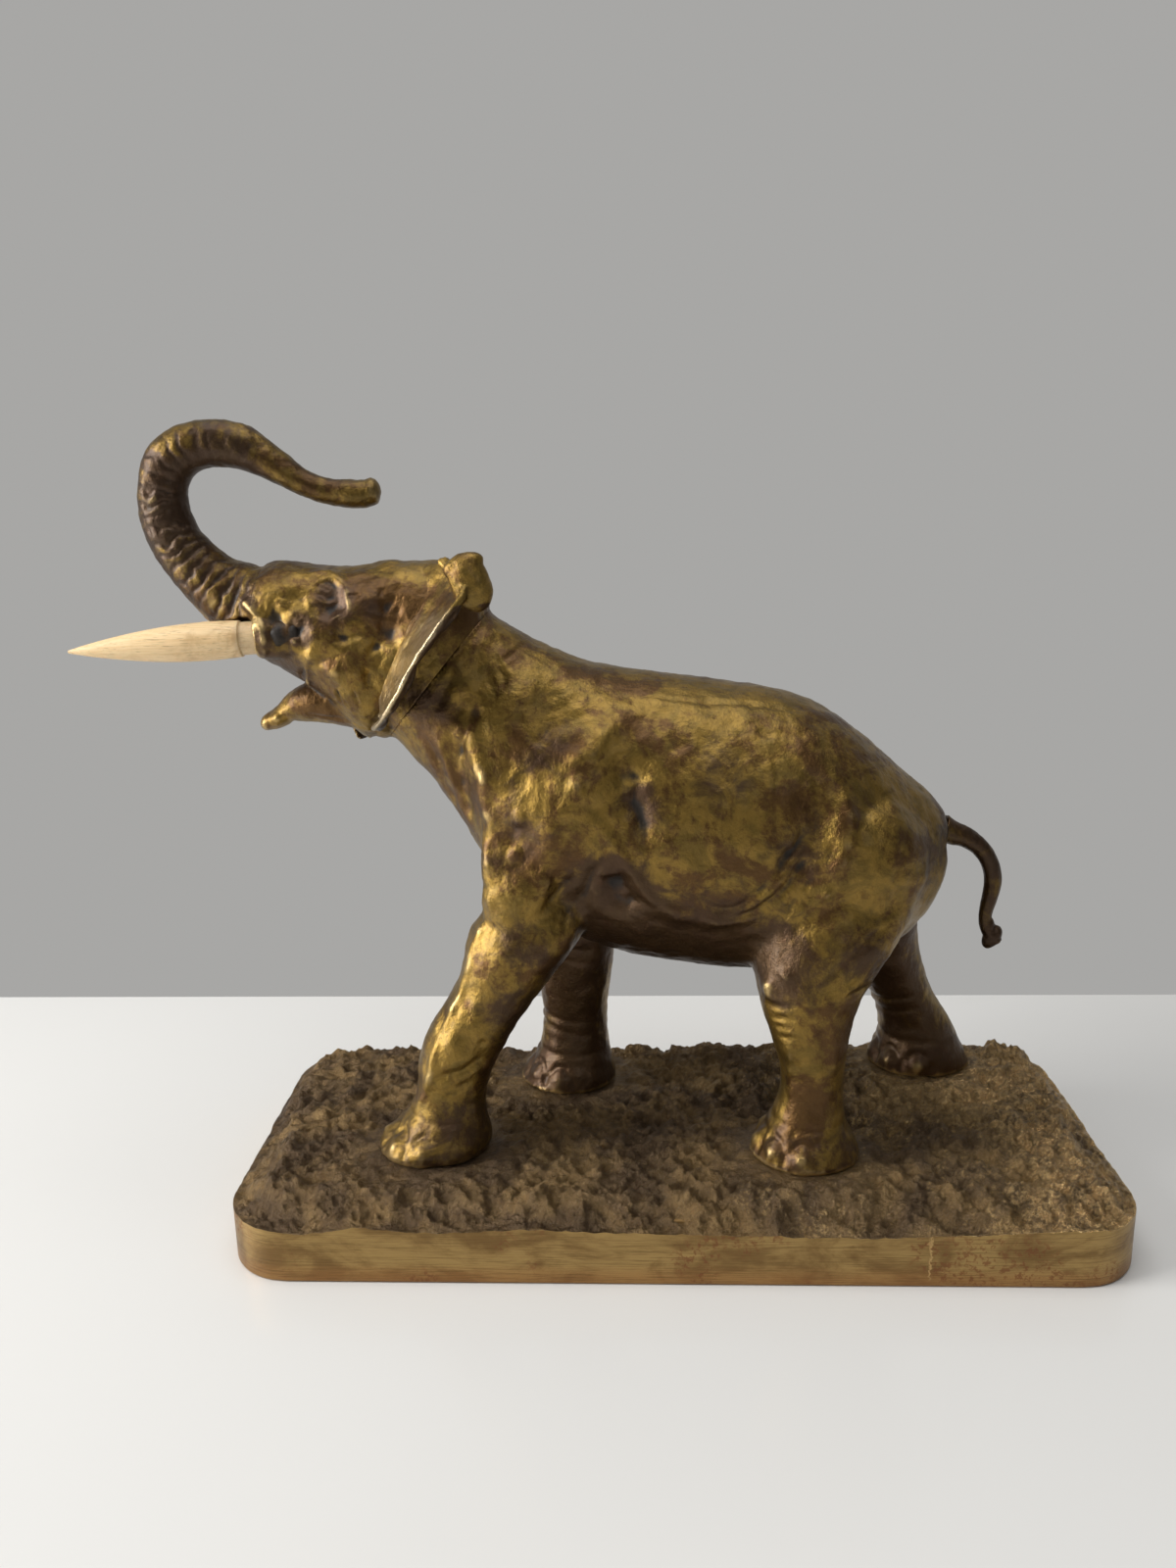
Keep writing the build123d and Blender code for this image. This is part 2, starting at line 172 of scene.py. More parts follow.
def make_skin_finish(name, rubbed_and_highlight=GOLD):
    """Old cast brass: yellow where hands polish it and where highlights are painted, brown and plum in
    between with painted shade mixed into the plum, near black in the folds.
    """
    skin = Finish(name, Coat_Weight=0.12, Coat_Roughness=0.24)
    where = skin.place()
    hollow = skin.painted("hollow")
    worn_and_highlight = skin.painted("worn_and_highlight")
    dark = skin.painted("dark")
    dim = skin.painted("dim")
    patches = skin.cloud(where, 19.0, 6.0, 0.62, 0.6)
    blots = skin.cloud(where, 7.5, 7.0, 0.66, 1.0)
    grains = skin.cloud(where, 0.9, 4.0, 0.6)
    strokes = skin.cloud(skin.place((0.35, 1.0, 0.22), (0.0, 0.5, 0.0)), 1.1, 3.0, 0.5)
    flecks = skin.cloud(where, 2.6, 9.0, 0.74, 0.3)
    tone = skin.blend(skin.ramp(blots, 0.42, 0.62) * 0.8, BRASS, OLIVE)
    tone = skin.blend(skin.ramp(patches * 0.75 + flecks * 0.25, 0.47, 0.57) * 0.85, tone, BROWN)
    # Plum: patina blots, plus the dark values, which hold dark patina and painted shade.
    stain = skin.ramp(blots * 0.6 + flecks * 0.25 + dark * 0.8, 0.56, 0.80)
    tone = skin.blend(stain * 0.92, tone, PLUM)
    speckle = skin.ramp(flecks * 0.7 + strokes * 0.3, 0.53, 0.61)
    tone = skin.blend(speckle * (1.0 - worn_and_highlight) * 0.5, tone, BROWN)
    # Rubbed brass on the raised places, plus painted highlights where the stored wear values hold them; on
    # the ears the rubbed colour is a pale painted highlight.
    rub_and_highlight = skin.ramp(worn_and_highlight + (strokes - 0.5) * 0.5, 0.3, 1.0)
    tone = skin.blend(rub_and_highlight * 0.85, tone, rubbed_and_highlight)
    # Near black in the folds: patina in the hollows, and painted shade on the backs of the ears.
    pitch = skin.ramp(hollow + (grains - 0.5) * 0.35, 0.3, 1.0)
    tone = skin.blend(pitch * 0.9, tone, SOOT)
    tone = skin.blend(dim, tone, SOOT)
    skin.set(Base_Color=tone, Metallic=0.94 - pitch * 0.5 - stain * 0.18)
    skin.set(Roughness=0.33 + grains * 0.12 - rub_and_highlight * 0.10 + pitch * 0.25)
    coarse = skin.bump(grains * 0.7 + strokes * 0.5, 0.28, 0.9)
    skin.set(Normal=skin.bump(skin.cloud(where, 0.35, 3.0, 0.6), 0.09, 0.7, coarse))
    return skin.material


def make_ground_finish():
    """Rough cast ground: dark brown in the grain with gold and copper glints on every high spot."""
    ground = Finish("rough_ground_brass")
    where = ground.place()
    hollow = ground.painted("hollow")
    worn_and_highlight = ground.painted("worn_and_highlight")
    golden = ground.painted("golden")
    patches = ground.cloud(where, 18.0, 5.0, 0.6, 0.5)
    blots = ground.cloud(where, 3.0, 6.0, 0.7, 0.4)
    grit = ground.cloud(where, 0.8, 5.0, 0.7)
    tone = ground.blend(ground.ramp(patches, 0.38, 0.64), EARTH, SAND)
    tone = ground.blend(ground.ramp(blots, 0.48, 0.7) * 0.55, tone, PLUM)
    glint = ground.ramp(blots * 0.4 + grit * 0.35 + worn_and_highlight * 0.7 + golden * 0.2, 0.50, 0.66)
    tone = ground.blend(glint, tone, colour(0.74, 0.52, 0.24))
    blush = ground.ramp(blots * golden, 0.42, 0.6) * 0.3
    tone = ground.blend(blush, tone, COPPER)
    pitch = ground.ramp(hollow * 1.2 + (0.5 - blots) * 0.5 + (0.5 - grit) * 0.4, 0.04, 0.36)
    tone = ground.blend(pitch * 0.7, tone, SOOT)
    ground.set(Base_Color=tone, Metallic=0.88 - pitch * 0.4, Roughness=0.32 + pitch * 0.3 - glint * 0.06)
    coarse = ground.bump(blots, 2.2, 1.0)
    ground.set(Normal=ground.bump(grit, 0.9, 1.0, coarse))
    return ground.material


def make_rim_finish():
    """The plate's sides: brass brushed lengthways, redder near the table, coppery specks, one pale run."""
    rim = Finish("brushed_rim_brass")
    where = rim.place()
    brush = rim.cloud(rim.place((0.02, 0.02, 1.0)), 0.26, 6.0, 0.78)
    swell = rim.cloud(rim.place((0.5, 0.5, 1.0)), 11.0, 6.0, 0.62, 0.5)
    specks = rim.cloud(where, 1.4, 5.0, 0.7, 0.3)
    areas = rim.cloud(where, 26.0, 2.0, 0.5)
    height = rim.node("SeparateXYZ", {}, {"Vector": where}, "Z")
    tone = rim.blend(rim.ramp(swell, 0.42, 0.62), colour(0.40, 0.265, 0.100), colour(0.225, 0.135, 0.050))
    low = rim.ramp(height, 0.0062, 0.0015) * 0.5
    tone = rim.blend(low, tone, colour(0.36, 0.165, 0.055))
    tone = rim.blend(rim.ramp(brush, 0.46, 0.66) * 0.6, tone, colour(0.11, 0.062, 0.024))
    cluster = rim.ramp(specks, 0.50, 0.60) * rim.ramp(areas, 0.52, 0.60)
    tone = rim.blend(cluster * 0.7, tone, COPPER)
    along_edge = rim.node("SeparateXYZ", {}, {"Vector": where}, "X")
    off_run = (along_edge + (specks - 0.5) * 0.004 - 0.0612).size()
    run = rim.ramp(off_run, 0.00045, 0.00015) * rim.ramp(height, 0.001, 0.004)
    tone = rim.blend(run * 0.7, tone, colour(0.60, 0.40, 0.17))
    rim.set(Base_Color=tone, Metallic=0.93, Roughness=0.33 + brush * 0.12 + cluster * 0.2)
    rim.set(Normal=rim.bump(brush * 0.8 + specks * 0.2, 0.14, 0.8))
    return rim.material


def make_bone_finish():
    """Turned bone: cream, faint grain along the tusk, brown stain towards the socket and a darker collar."""
    bone = Finish(
        "turned_bone", Subsurface_Weight=0.08, Subsurface_Scale=0.002, Coat_Weight=0.12, Coat_Roughness=0.3,
    )
    where = bone.place()
    grain = bone.cloud(bone.place((0.05, 1.0, 1.0)), 0.55, 4.0, 0.6)
    canals = bone.cloud(bone.place((0.07, 1.0, 1.0)), 0.28, 2.0, 0.5)
    stain = bone.cloud(where, 7.0, 4.0, 0.6, 0.3)
    along = bone.node("SeparateXYZ", {}, {"Vector": where}, "X")
    near_seat = bone.ramp(along, -0.128, -0.110)
    tone = bone.blend(bone.ramp(grain, 0.35, 0.7), colour(0.86, 0.64, 0.36), colour(0.76, 0.53, 0.27))
    tone = bone.blend(bone.ramp(canals, 0.58, 0.70) * 0.5, tone, colour(0.30, 0.185, 0.085))
    rust = bone.ramp(stain, 0.46, 0.68) * (near_seat * 0.55 + 0.18)
    tone = bone.blend(rust, tone, colour(0.42, 0.235, 0.085))
    collar = bone.ramp(along, -0.1102, -0.1086) * 0.45
    tone = bone.blend(collar, tone, colour(0.46, 0.34, 0.20))
    bone.set(Base_Color=tone, Roughness=0.42 + grain * 0.16)
    bone.set(Normal=bone.bump(grain * 0.7 + canals * 0.4, 0.05, 0.6))
    return bone.material


def make_rod_finish():
    """Drawn brass rod: fine lines along the pin and a light tarnish."""
    rod = Finish("drawn_brass_rod")
    where = rod.place()
    lines = rod.cloud(rod.place((1.0, 0.05, 1.0)), 0.2, 3.0, 0.6)
    tarnish = rod.cloud(where, 2.2, 4.0, 0.6)
    tone = rod.blend(rod.ramp(tarnish, 0.4, 0.65), colour(0.52, 0.38, 0.14), colour(0.22, 0.14, 0.05))
    rod.set(Base_Color=tone, Metallic=1.0 - tarnish * 0.1, Roughness=0.28 + lines * 0.2)
    rod.set(Normal=rod.bump(lines, 0.03, 0.6))
    return rod.material


def make_steel_finish():
    """Zinc-dulled steel of the screws and washers, with turned rings and a trace of rust."""
    steel = Finish("dull_steel")
    where = steel.place()
    haze = steel.cloud(where, 1.6, 5.0, 0.6)
    scratches = steel.cloud(steel.place((1.0, 0.08, 1.0), (0.0, 0.0, 0.7)), 0.25, 2.0, 0.5)
    rust = steel.ramp(steel.cloud(where, 3.2, 4.0, 0.65), 0.58, 0.72)
    tone = steel.blend(haze, colour(0.42, 0.42, 0.41), colour(0.26, 0.26, 0.265))
    tone = steel.blend(rust * 0.6, tone, colour(0.16, 0.07, 0.03))
    steel.set(Base_Color=tone, Metallic=0.96 - rust * 0.6, Roughness=0.34 + haze * 0.14 + rust * 0.25)
    steel.set(Normal=steel.bump(scratches, 0.02, 0.5))
    return steel.material


# ------------------------------------------------------------------ meshes
def add_object(name, mesh):
    made = bpy.data.objects.new(name, mesh)
    bpy.context.scene.collection.objects.link(made)
    return made


def wear(thing, finish):
    """Give an object this finish and no other."""
    thing.data.materials.clear()
    thing.data.materials.append(finish)


def object_from(bm, name):
    """An object of the bmesh, which is used up."""
    mesh = bpy.data.meshes.new(name)
    bm.to_mesh(mesh)
    bm.free()
    return add_object(name, mesh)


def copy_of_node(bm, node):
    """Add a CAD node's mesh, with its doubles merged, to a bmesh."""
    part = bmesh.new()
    part.from_mesh(NODES[node].data)
    bmesh.ops.remove_doubles(part, verts=part.verts, dist=0.01 * MM)
    mesh = bpy.data.meshes.new("part")
    part.to_mesh(mesh)
    part.free()
    bm.from_mesh(mesh)
    bpy.data.meshes.remove(mesh)


def add_ball(bm, place, radii, turn=0.0, segments=24):
    """An ellipsoid, turned about the Y axis by degrees."""
    matrix = Matrix.Translation(Vector(place) * MM) @ Matrix.Rotation(math.radians(turn), 4, "Y")
    matrix = matrix @ Matrix.Diagonal(Vector(radii) * MM).to_4x4()
    bmesh.ops.create_uvsphere(bm, u_segments=segments, v_segments=segments // 2, radius=1.0, matrix=matrix)


def add_plug(bm, start, end, radius):
    """A closed round bar between two points."""
    start, end = Vector(start) * MM, Vector(end) * MM
    way = end - start
    matrix = Matrix.Translation((start + end) / 2) @ way.to_track_quat("Z", "Y").to_matrix().to_4x4()
    bmesh.ops.create_cone(
        bm, cap_ends=True, cap_tris=False, segments=20, radius1=radius * MM, radius2=radius * MM,
        depth=way.length, matrix=matrix,
    )


def remeshed(name, bm, voxel):
    """One closed skin round everything in the bmesh, which is used up."""
    made = object_from(bm, name)
    step = made.modifiers.new("skin", "REMESH")
    step.mode = "VOXEL"
    step.voxel_size = voxel * MM
    step.use_smooth_shade = True
    shown = bpy.data.meshes.new_from_object(made.evaluated_get(bpy.context.evaluated_depsgraph_get()))
    made.modifiers.clear()
    made.data = shown
    return made


class Skin:
    """A mesh held as arrays, in metres, so that it can be smoothed, chased and measured quickly."""

    def __init__(self, thing):
        self.mesh = thing.data
        count = len(self.mesh.vertices)
        flat = np.zeros(count * 3, np.float64)
        self.mesh.vertices.foreach_get("co", flat)
        self.places = flat.reshape(-1, 3)
        ends = np.zeros(len(self.mesh.edges) * 2, np.int64)
        self.mesh.edges.foreach_get("vertices", ends)
        self.ends = ends.reshape(-1, 2)
        both = self.ends.ravel()
        self.neighbours = np.bincount(both, minlength=count)[:, None]
        self.stain = np.zeros(count)

    def averaged(self, values):
        """Each vertex's neighbours, averaged."""
        first, second = self.ends[:, 0], self.ends[:, 1]
        columns = []
        for column in values.T:
            total = np.bincount(first, column[second], len(values))
            columns.append(total + np.bincount(second, column[first], len(values)))
        return np.array(columns).T / self.neighbours

    def smoothed(self, values, rounds, share=0.5):
        for _ in range(rounds):
            values = values * (1 - share) + self.averaged(values) * share
        return values

    def relax(self, rounds):
        """Smooth the places without shrinking the form."""
        for _ in range(rounds):
            self.places = self.smoothed(self.places, 1, 0.55)
            self.places = self.smoothed(self.places, 1, -0.57)

    def push(self):
        self.mesh.vertices.foreach_set("co", self.places.ravel())
        self.mesh.update()

    def measured(self, axis):
        """All the vertices' x, y or z, in millimetres."""
        return self.places[:, axis] / MM

    def gap_to(self, x, z):
        """How far each vertex lies from a place, seen from the side, in millimetres."""
        return np.hypot(self.measured(0) - x, self.measured(2) - z)

    def spots(self, table, floor):
        """The strongest of a table's soft round spots at each vertex."""
        strengths = np.full(len(self.places), floor)
        for (x, z), reach, strength in table:
            strengths = np.maximum(strengths, strength * np.exp(-((self.gap_to(x, z) / reach) ** 2)))
        return strengths

    def lift(self, normals, heights):
        """Move each vertex along its normal by a height in millimetres."""
        self.places = self.places + normals * heights[:, None] * MM

    def finder(self):
        """A tree that finds the vertices near a place."""
        tree = KDTree(len(self.places))
        for number, place in enumerate(self.places):
            tree.insert(place, number)
        tree.balance()
        return tree

    def normals(self):
        self.push()
        flat = np.zeros(len(self.places) * 3, np.float32)
        self.mesh.vertices.foreach_get("normal", flat)
        return flat.reshape(-1, 3).astype(np.float64)

    def tree(self):
        self.push()
        polygons = [tuple(polygon.vertices) for polygon in self.mesh.polygons]
        return BVHTree.FromPolygons([tuple(place) for place in self.places], polygons)

    def store(self, name, values):
        layer = self.mesh.attributes.get(name) or self.mesh.attributes.new(name, "FLOAT", "POINT")
        layer.data.foreach_set("value", np.clip(values, 0.0, 1.0).astype(np.float32))


def wave(places, size, seed, rough=2):
    """Soft noise from -1 to 1 at each place, with features of about this many millimetres."""
    shift = Vector((seed * 17.3, seed * 5.1, seed * 9.7))
    scale = 1.0 / (size * MM)
    return np.array([noise.fractal(Vector(place) * scale + shift, 0.9, 2.1, rough) for place in places])


# ------------------------------------------------------------------ chasing of the animal's skin
# A stroke: its kind, its depth or height, its reach to either side, and its line on the flank as (x, z).
# A ridge stands up, a crease is cut sharp with a swollen lip on each side, and a hollow sinks softly.
FLANK = (
    ("hollow", 2.0, 12, ((-26, 143), (-35, 130), (-43, 118))),
    ("ridge", 2.8, 10, ((-14, 139), (-21, 128), (-27, 114), (-32, 100), (-35, 88))),
    ("hollow", 1.6, 9, ((-39, 112), (-40, 104))),
    ("ridge", 1.3, 8, ((-30, 131), (-38, 124), (-45, 116))),
    ("hollow", 1.4, 8, ((-44, 150), (-49, 141), (-52, 134))),
    (
        "ridge", 1.9, 6.4,
        ((-51, 134), (-49.5, 128), (-48, 123), (-47.5, 117), (-47.2, 110), (-47.4, 102), (-48, 94)),
    ),
    ("hollow", 1.9, 6, ((-56, 134), (-55, 126), (-54, 118), (-52, 108))),
    ("hollow", 2.3, 9.5, ((-11.5, 129), (-11, 119.5), (-9, 112), (-6, 105))),
    ("ridge", 0.8, 4.2, ((-14.5, 121), (-13, 114), (-11, 109), (-7.5, 102))),
    ("ridge", 0.6, 4, ((-5.5, 124), (-4.8, 116), (-5.5, 108))),
    ("crease", 0.6, 2.0, ((-10.5, 122), (-9.5, 115), (-8, 109), (-6, 104.5))),
    ("crease", 0.8, 2.8, ((-20.5, 116.5), (-15, 109.5), (-12, 104), (-8.5, 98.5), (-5, 93), (-2, 89.5))),
    (
        "ridge", 1.5, 4.6, (
            (-19, 113), (-14, 106), (-10.5, 99.5), (-6.5, 93), (-1.5, 88.5), (6.5, 86.5), (13.5, 85.5),
            (20, 87.5),
        ),
    ),
    ("hollow", 3.0, 6.5, ((-16, 98), (-14, 92.5), (-10, 88.5))),
    ("crease", 1.2, 2.6, ((-17, 103), (-21, 98), (-22.5, 91), (-24.5, 84))),
    ("crease", 0.6, 1.4, ((-3.5, 103), (-1.5, 98.5))),
    ("hollow", 2.4, 8.5, ((35, 121), (34, 112), (31.5, 103), (27, 96))),
    ("ridge", 2.8, 6.5, ((42, 118), (42.5, 108), (40, 99), (37, 90))),
    ("crease", 1.0, 2.2, ((25, 101), (27, 104), (30.5, 107))),
    ("crease", 0.9, 2.0, ((6, 91), (12, 89), (17, 90.5), (21, 94.5), (24, 98.5), (28.5, 103), (32, 110))),
    ("crease", 0.9, 2.0, ((12, 86.5), (17.5, 87.5), (22, 90), (27.5, 94.5), (30.5, 101), (33, 108))),
    ("ridge", 0.8, 2.2, ((14, 88.5), (19.5, 90.5), (25, 96), (29, 101.5), (32.5, 107))),
    ("crease", 0.9, 2.0, ((28, 88.5), (30, 93.5), (33.5, 97), (37, 98.5))),
    ("crease", 0.8, 1.8, ((31.5, 87.5), (36, 91.5), (41.5, 95))),
    ("ridge", 0.9, 3, ((25, 84.5), (31, 88.5), (37, 93), (42, 95.5))),
    ("hollow", 0.8, 5.5, ((45, 112), (52, 118))),
    ("hollow", 1.1, 8, ((56, 96), (52, 88), (47, 81))),
    ("ridge", 1.2, 6, ((62, 108), (63, 98), (60, 90))),
    ("crease", 0.7, 2, ((36.5, 72), (41, 76), (48, 82.5), (54, 85))),
    ("ring", 0.5, 4.5, ((11, 123),)),
    ("hollow", 0.5, 2.2, ((21, 133.5), (24.5, 131.5))),
    ("hollow", 0.5, 3, ((-2, 129), (4, 131))),
    ("crease", 0.5, 1.5, ((24, 128), (25.5, 121), (23, 112))),
    (
        "crease", 0.45, 1.6, (
            (-10.5, 141.8), (-4, 140.8), (5, 139.6), (16.5, 138.8), (27, 137.4), (37, 134.5),
        ),
    ),
    # neck and throat
    ("crease", 0.8, 1.5, ((-45.5, 153.5), (-44, 150.5), (-42, 147), (-42.5, 144))),
    ("crease", 0.6, 1.3, ((-44, 150), (-40.5, 151.8), (-37, 154.5))),
    ("crease", 0.8, 2.2, ((-54.5, 149), (-57.5, 143), (-61, 136.5))),
    ("crease", 0.7, 2.0, ((-51.5, 144), (-55.5, 136))),
    ("crease", 1.2, 2.2, ((-51.5, 136), (-53, 130), (-55, 126))),
    ("crease", 0.6, 2.0, ((-48, 146), (-50, 139))),
    ("crease", 0.8, 2.4, ((-63, 131), (-60, 124), (-58, 117), (-55.5, 110))),
    ("ridge", 0.8, 2.6, ((-60, 132), (-57.5, 124), (-55.5, 116))),
)
# Strokes of the near foreleg and its armpit, and of the near hind leg. The off legs stand elsewhere.
NEAR_LEGS = (
    ("crease", 0.5, 1.6, ((-45.5, 90.5), (-42.5, 88), (-39, 87.5), (-36.5, 90))),
    ("crease", 0.3, 1.4, ((-44, 94), (-40.5, 91.5), (-36.5, 92.8))),
    ("hollow", 0.5, 1.6, ((-38.2, 89.6),)),
    ("ridge", 1.6, 6.0, ((-47, 104), (-46.5, 96), (-47, 88))),
    ("crease", 0.8, 2.2, ((-24.5, 98.5), (-28.5, 94), (-33.5, 89))),
    ("crease", 0.9, 2.4, ((-20, 98), (-23, 92.5), (-26.5, 88), (-28.5, 84), (-29.5, 78))),
    ("crease", 0.6, 1.8, ((-29.5, 88), (-30.5, 83), (-31, 78))),
    ("hollow", 1.0, 5, ((-33, 84), (-37, 78), (-42, 70))),
    ("ridge", 1.1, 3.2, ((-47, 96), (-48.5, 88), (-51, 80), (-54, 70), (-57.5, 61.5), (-61, 55))),
    ("ridge", 0.9, 2.8, ((-61, 55), (-63.2, 48), (-64, 43), (-66.5, 37), (-69, 33))),
    ("hollow", 0.9, 4.5, ((-56, 56), (-51.5, 52), (-49, 46))),
    ("crease", 1.1, 2.2, ((-63.5, 42.5), (-59, 45), (-54, 46.5), (-50, 49))),
    ("crease", 0.6, 1.6, ((-62.5, 39), (-58, 40.5), (-54, 42.5))),
    ("hollow", 0.7, 1.5, ((-49.8, 53.5),)),
    ("ridge", 0.7, 2.4, ((-53, 44), (-52.5, 37), (-52.5, 31))),
    ("ridge", 1.2, 3.2, ((23.6, 70.5), (23.6, 65.5))),
    ("ridge", 0.8, 2.6, ((26, 74), (28.5, 71.5))),
    ("crease", 0.8, 1.5, ((23, 64), (26.5, 64.6), (30, 65.2))),
    ("crease", 0.7, 1.3, ((24.5, 60.8), (27, 61.2), (30.5, 62.2))),
    ("crease", 0.7, 1.3, ((25.5, 58.3), (29.5, 59.6))),
    ("crease", 0.6, 1.3, ((26.5, 55.8), (30.5, 56.8))),
    ("crease", 0.8, 1.8, ((41, 67.5), (46, 67.8), (49.5, 69))),
    ("crease", 0.6, 1.5, ((39, 65), (41.5, 66.5))),
    ("ridge", 0.8, 2.8, ((57, 79), (50, 74.5), (44, 70), (41, 66))),
    ("ridge", 0.7, 2.8, ((29, 56), (29, 48), (29.5, 42), (30, 36))),
    ("hollow", 0.7, 3.5, ((36, 62), (37.5, 54), (38, 46))),
    ("hollow", 0.6, 1.3, ((24.5, 31.5), (30, 30))),
)
HEAD = (
    ("hollow", 2.4, 5.6, ((-87, 170.5), (-85, 166.5), (-83.5, 162.5))),
    ("ridge", 0.9, 2.6, ((-91.5, 172.4), (-88, 173.2), (-84, 171.6), (-81, 168), (-80.6, 163.5))),
    ("ridge", 1.5, 1.7, ((-86.3, 169.2),)),
    ("crease", 0.9, 1.1, ((-89.2, 169.6), (-87.8, 170.9), (-85.6, 171), (-83.8, 169.6))),
    ("crease", 0.7, 1.0, ((-88.8, 168.6), (-86.6, 167.4), (-84.4, 168))),
    ("ridge", 0.7, 1.2, ((-89.4, 167.4), (-86.4, 165.8), (-83.6, 166.9))),
    ("hollow", 0.9, 0.9, ((-86.4, 169.3),)),
    ("hollow", 1.4, 5.0, ((-91, 166.5), (-97, 166))),
    ("hollow", 1.7, 4.2, ((-93.6, 160.8), (-94.2, 156.8))),
    (
        "ridge", 1.2, 2.6, (
            (-110, 168), (-107, 165.4), (-104.2, 163.4), (-102.4, 160.4), (-101.8, 156), (-103, 152.5),
        ),
    ),
    ("hollow", 1.4, 4.0, ((-100, 166), (-98.5, 159), (-99, 154))),
    ("ridge", 1.0, 2.6, ((-89, 160), (-89.6, 155), (-92, 150.5))),
    ("hollow", 1.6, 5.5, ((-85, 157.5), (-79, 158.5), (-74, 160))),
    ("ridge", 1.0, 6.0, ((-79, 167), (-73, 168))),
    ("ridge", 1.2, 5.0, ((-88, 149), (-81, 148), (-75, 150))),
    ("crease", 0.5, 1.8, ((-90.5, 150.5), (-85.5, 152.5), (-80, 154.5))),
    ("crease", 0.9, 1.8, ((-99, 145.5), (-95.5, 146.8), (-92.6, 149))),
    ("ridge", 1.1, 1.8, ((-92.3, 150), (-93.2, 145.5), (-94.2, 141.5))),
    ("crease", 1.0, 1.0, ((-90.8, 144), (-90, 139.6))),
    ("crease", 1.0, 1.0, ((-85.2, 144), (-84.2, 139.6))),
    ("crease", 1.0, 1.0, ((-80.6, 144), (-79.4, 139.6))),
    ("crease", 0.6, 1.2, ((-95, 136.6), (-88, 135.2), (-81, 134), (-75, 133))),
    ("crease", 0.35, 1.0, ((-75, 169), (-76.5, 164.5))),
    ("crease", 0.35, 1.0, ((-77.5, 170), (-78.8, 166))),
    ("crease", 0.35, 1.0, ((-71.5, 171.5), (-72.8, 167))),
    ("hollow", 2.8, 7.5, ((-67, 170), (-70.5, 162), (-74, 153), (-76.5, 144))),
)
FADE = 0.3  # share of a stroke over which each end dies away
# Share of a stroke's height that the wax keeps
SOFTEN = {"ridge": 0.75, "crease": 0.62, "hollow": 0.9, "ring": 0.6}
SPREAD = 1.3  # how much wider than its table entry a stroke works
PAST_MIDDLE = 12.0  # how far over the middle plane a stroke may still find the skin


def find_skin(tree, x, z, side):
    """The skin's outermost point on a flank, at this x and z."""
    start = Vector((x * MM, side * 0.09, z * MM))
    return tree.ray_cast(start, Vector((0, -side, 0)))[0]


def fill_in(points, step=0.4):
    """Points along a line, closer together, each with its share of the way."""
    if len(points) == 1:
        return [(Vector(points[0]), 0.5)]
    spans = [(Vector(b) - Vector(a)).length for a, b in zip(points, points[1:])]
    total = sum(spans)
    filled, gone = [], 0.0
    for a, b, span in zip(points, points[1:], spans):
        parts = max(1, int(span / (step * MM)))
        for part in range(parts):
            share = part / parts
            filled.append((Vector(a).lerp(Vector(b), share), (gone + span * share) / total))
        gone += span
    filled.append((Vector(points[-1]), 1.0))
    return filled


def rounded(points):
    """A stroke's line with its corners taken off."""
    if len(points) < 3:
        return points
    eased = [points[0]]
    for a, b in zip(points, points[1:]):
        eased.append(tuple(Vector(a).lerp(Vector(b), 0.25)))
        eased.append(tuple(Vector(a).lerp(Vector(b), 0.75)))
    return [*eased, points[-1]]


def stroke_shape(kind, reach_share):
    """How far a stroke lifts the skin, at this share of its reach."""
    t = reach_share
    if kind == "ridge":
        return np.exp(-((t / 0.5) ** 2)) * np.clip(1.15 - t, 0, 1)
    if kind == "hollow":
        return -np.exp(-((t / 0.55) ** 2)) * np.clip(1.15 - t, 0, 1)
    if kind == "ring":
        return 0.8 * np.exp(-(((t - 0.62) / 0.16) ** 2)) - 0.6 * np.exp(-((t / 0.42) ** 2))
    cut = -np.exp(-((t / 0.4) ** 2))
    return cut + 0.14 * np.exp(-(((t - 0.85) / 0.25) ** 2))


def chase(skin, tree, strokes, sides):
    """Work a table of strokes into the skin."""
    normals = skin.normals()
    lift = np.zeros(len(skin.places))
    finder = skin.finder()
    for kind, height, reach, line in strokes:
        for side in sides:
            found = [find_skin(tree, x, z, side) for x, z in line]
            least = (MID_Y * side - PAST_MIDDLE) * MM
            found = [place for place in found if place and place.y * side > least]
            if found:
                add_stroke(finder, lift, kind, height, reach, rounded([tuple(place) for place in found]))
    worked = np.nonzero(lift)[0]
    lift[worked] *= np.clip(0.9 + 0.45 * wave(skin.places[worked], 6.0, 9.0), 0.4, 1.3)
    skin.lift(normals, lift)


def add_stroke(finder, lift, kind, height, reach, points):
    """Add one stroke's lift to the vertices near its line."""
    nearest = {}
    for place, share in fill_in(points):
        fade = min(1.0, share / FADE, (1 - share) / FADE) if len(points) > 1 else 1.0
        width = reach * SPREAD * (0.55 + 0.45 * fade)
        for _, number, gap in finder.find_range(place, width * MM * 1.25):
            t = gap / (width * MM)
            if t < nearest.get(number, (9.0, 0))[0]:
                nearest[number] = (t, fade)
    if not nearest:
        return
    numbers = np.array(list(nearest))
    pairs = np.array(list(nearest.values()))
    softened = np.sin(np.clip(pairs[:, 1], 0, 1) * math.pi / 2)
    lift[numbers] += height * SOFTEN[kind] * stroke_shape(kind, pairs[:, 0]) * (0.15 + 0.85 * softened)


# Feet: where each stands, and its half length and half width at the nails
FEET = {
    "front_left": ((-63.5, -17.0), (14.0, 12.6)),
    "front_right": ((-30.2, 22.0), (13.6, 12.6)),
    "hind_left": ((34.4, -20.0), (13.6, 12.6)),
    "hind_right": ((75.4, 31.8), (14.2, 12.2)),
}
NAIL_ANGLES = (-78, -38, 0, 38, 78)
NAIL_LEVEL = 24.6
NAIL_ARCH = ((-15, 1), (-9, 3.2), (0, 4), (9, 3.2), (15, 1))  # the crease over a nail: degrees round, rise
CUFF_LEVEL = 31.5


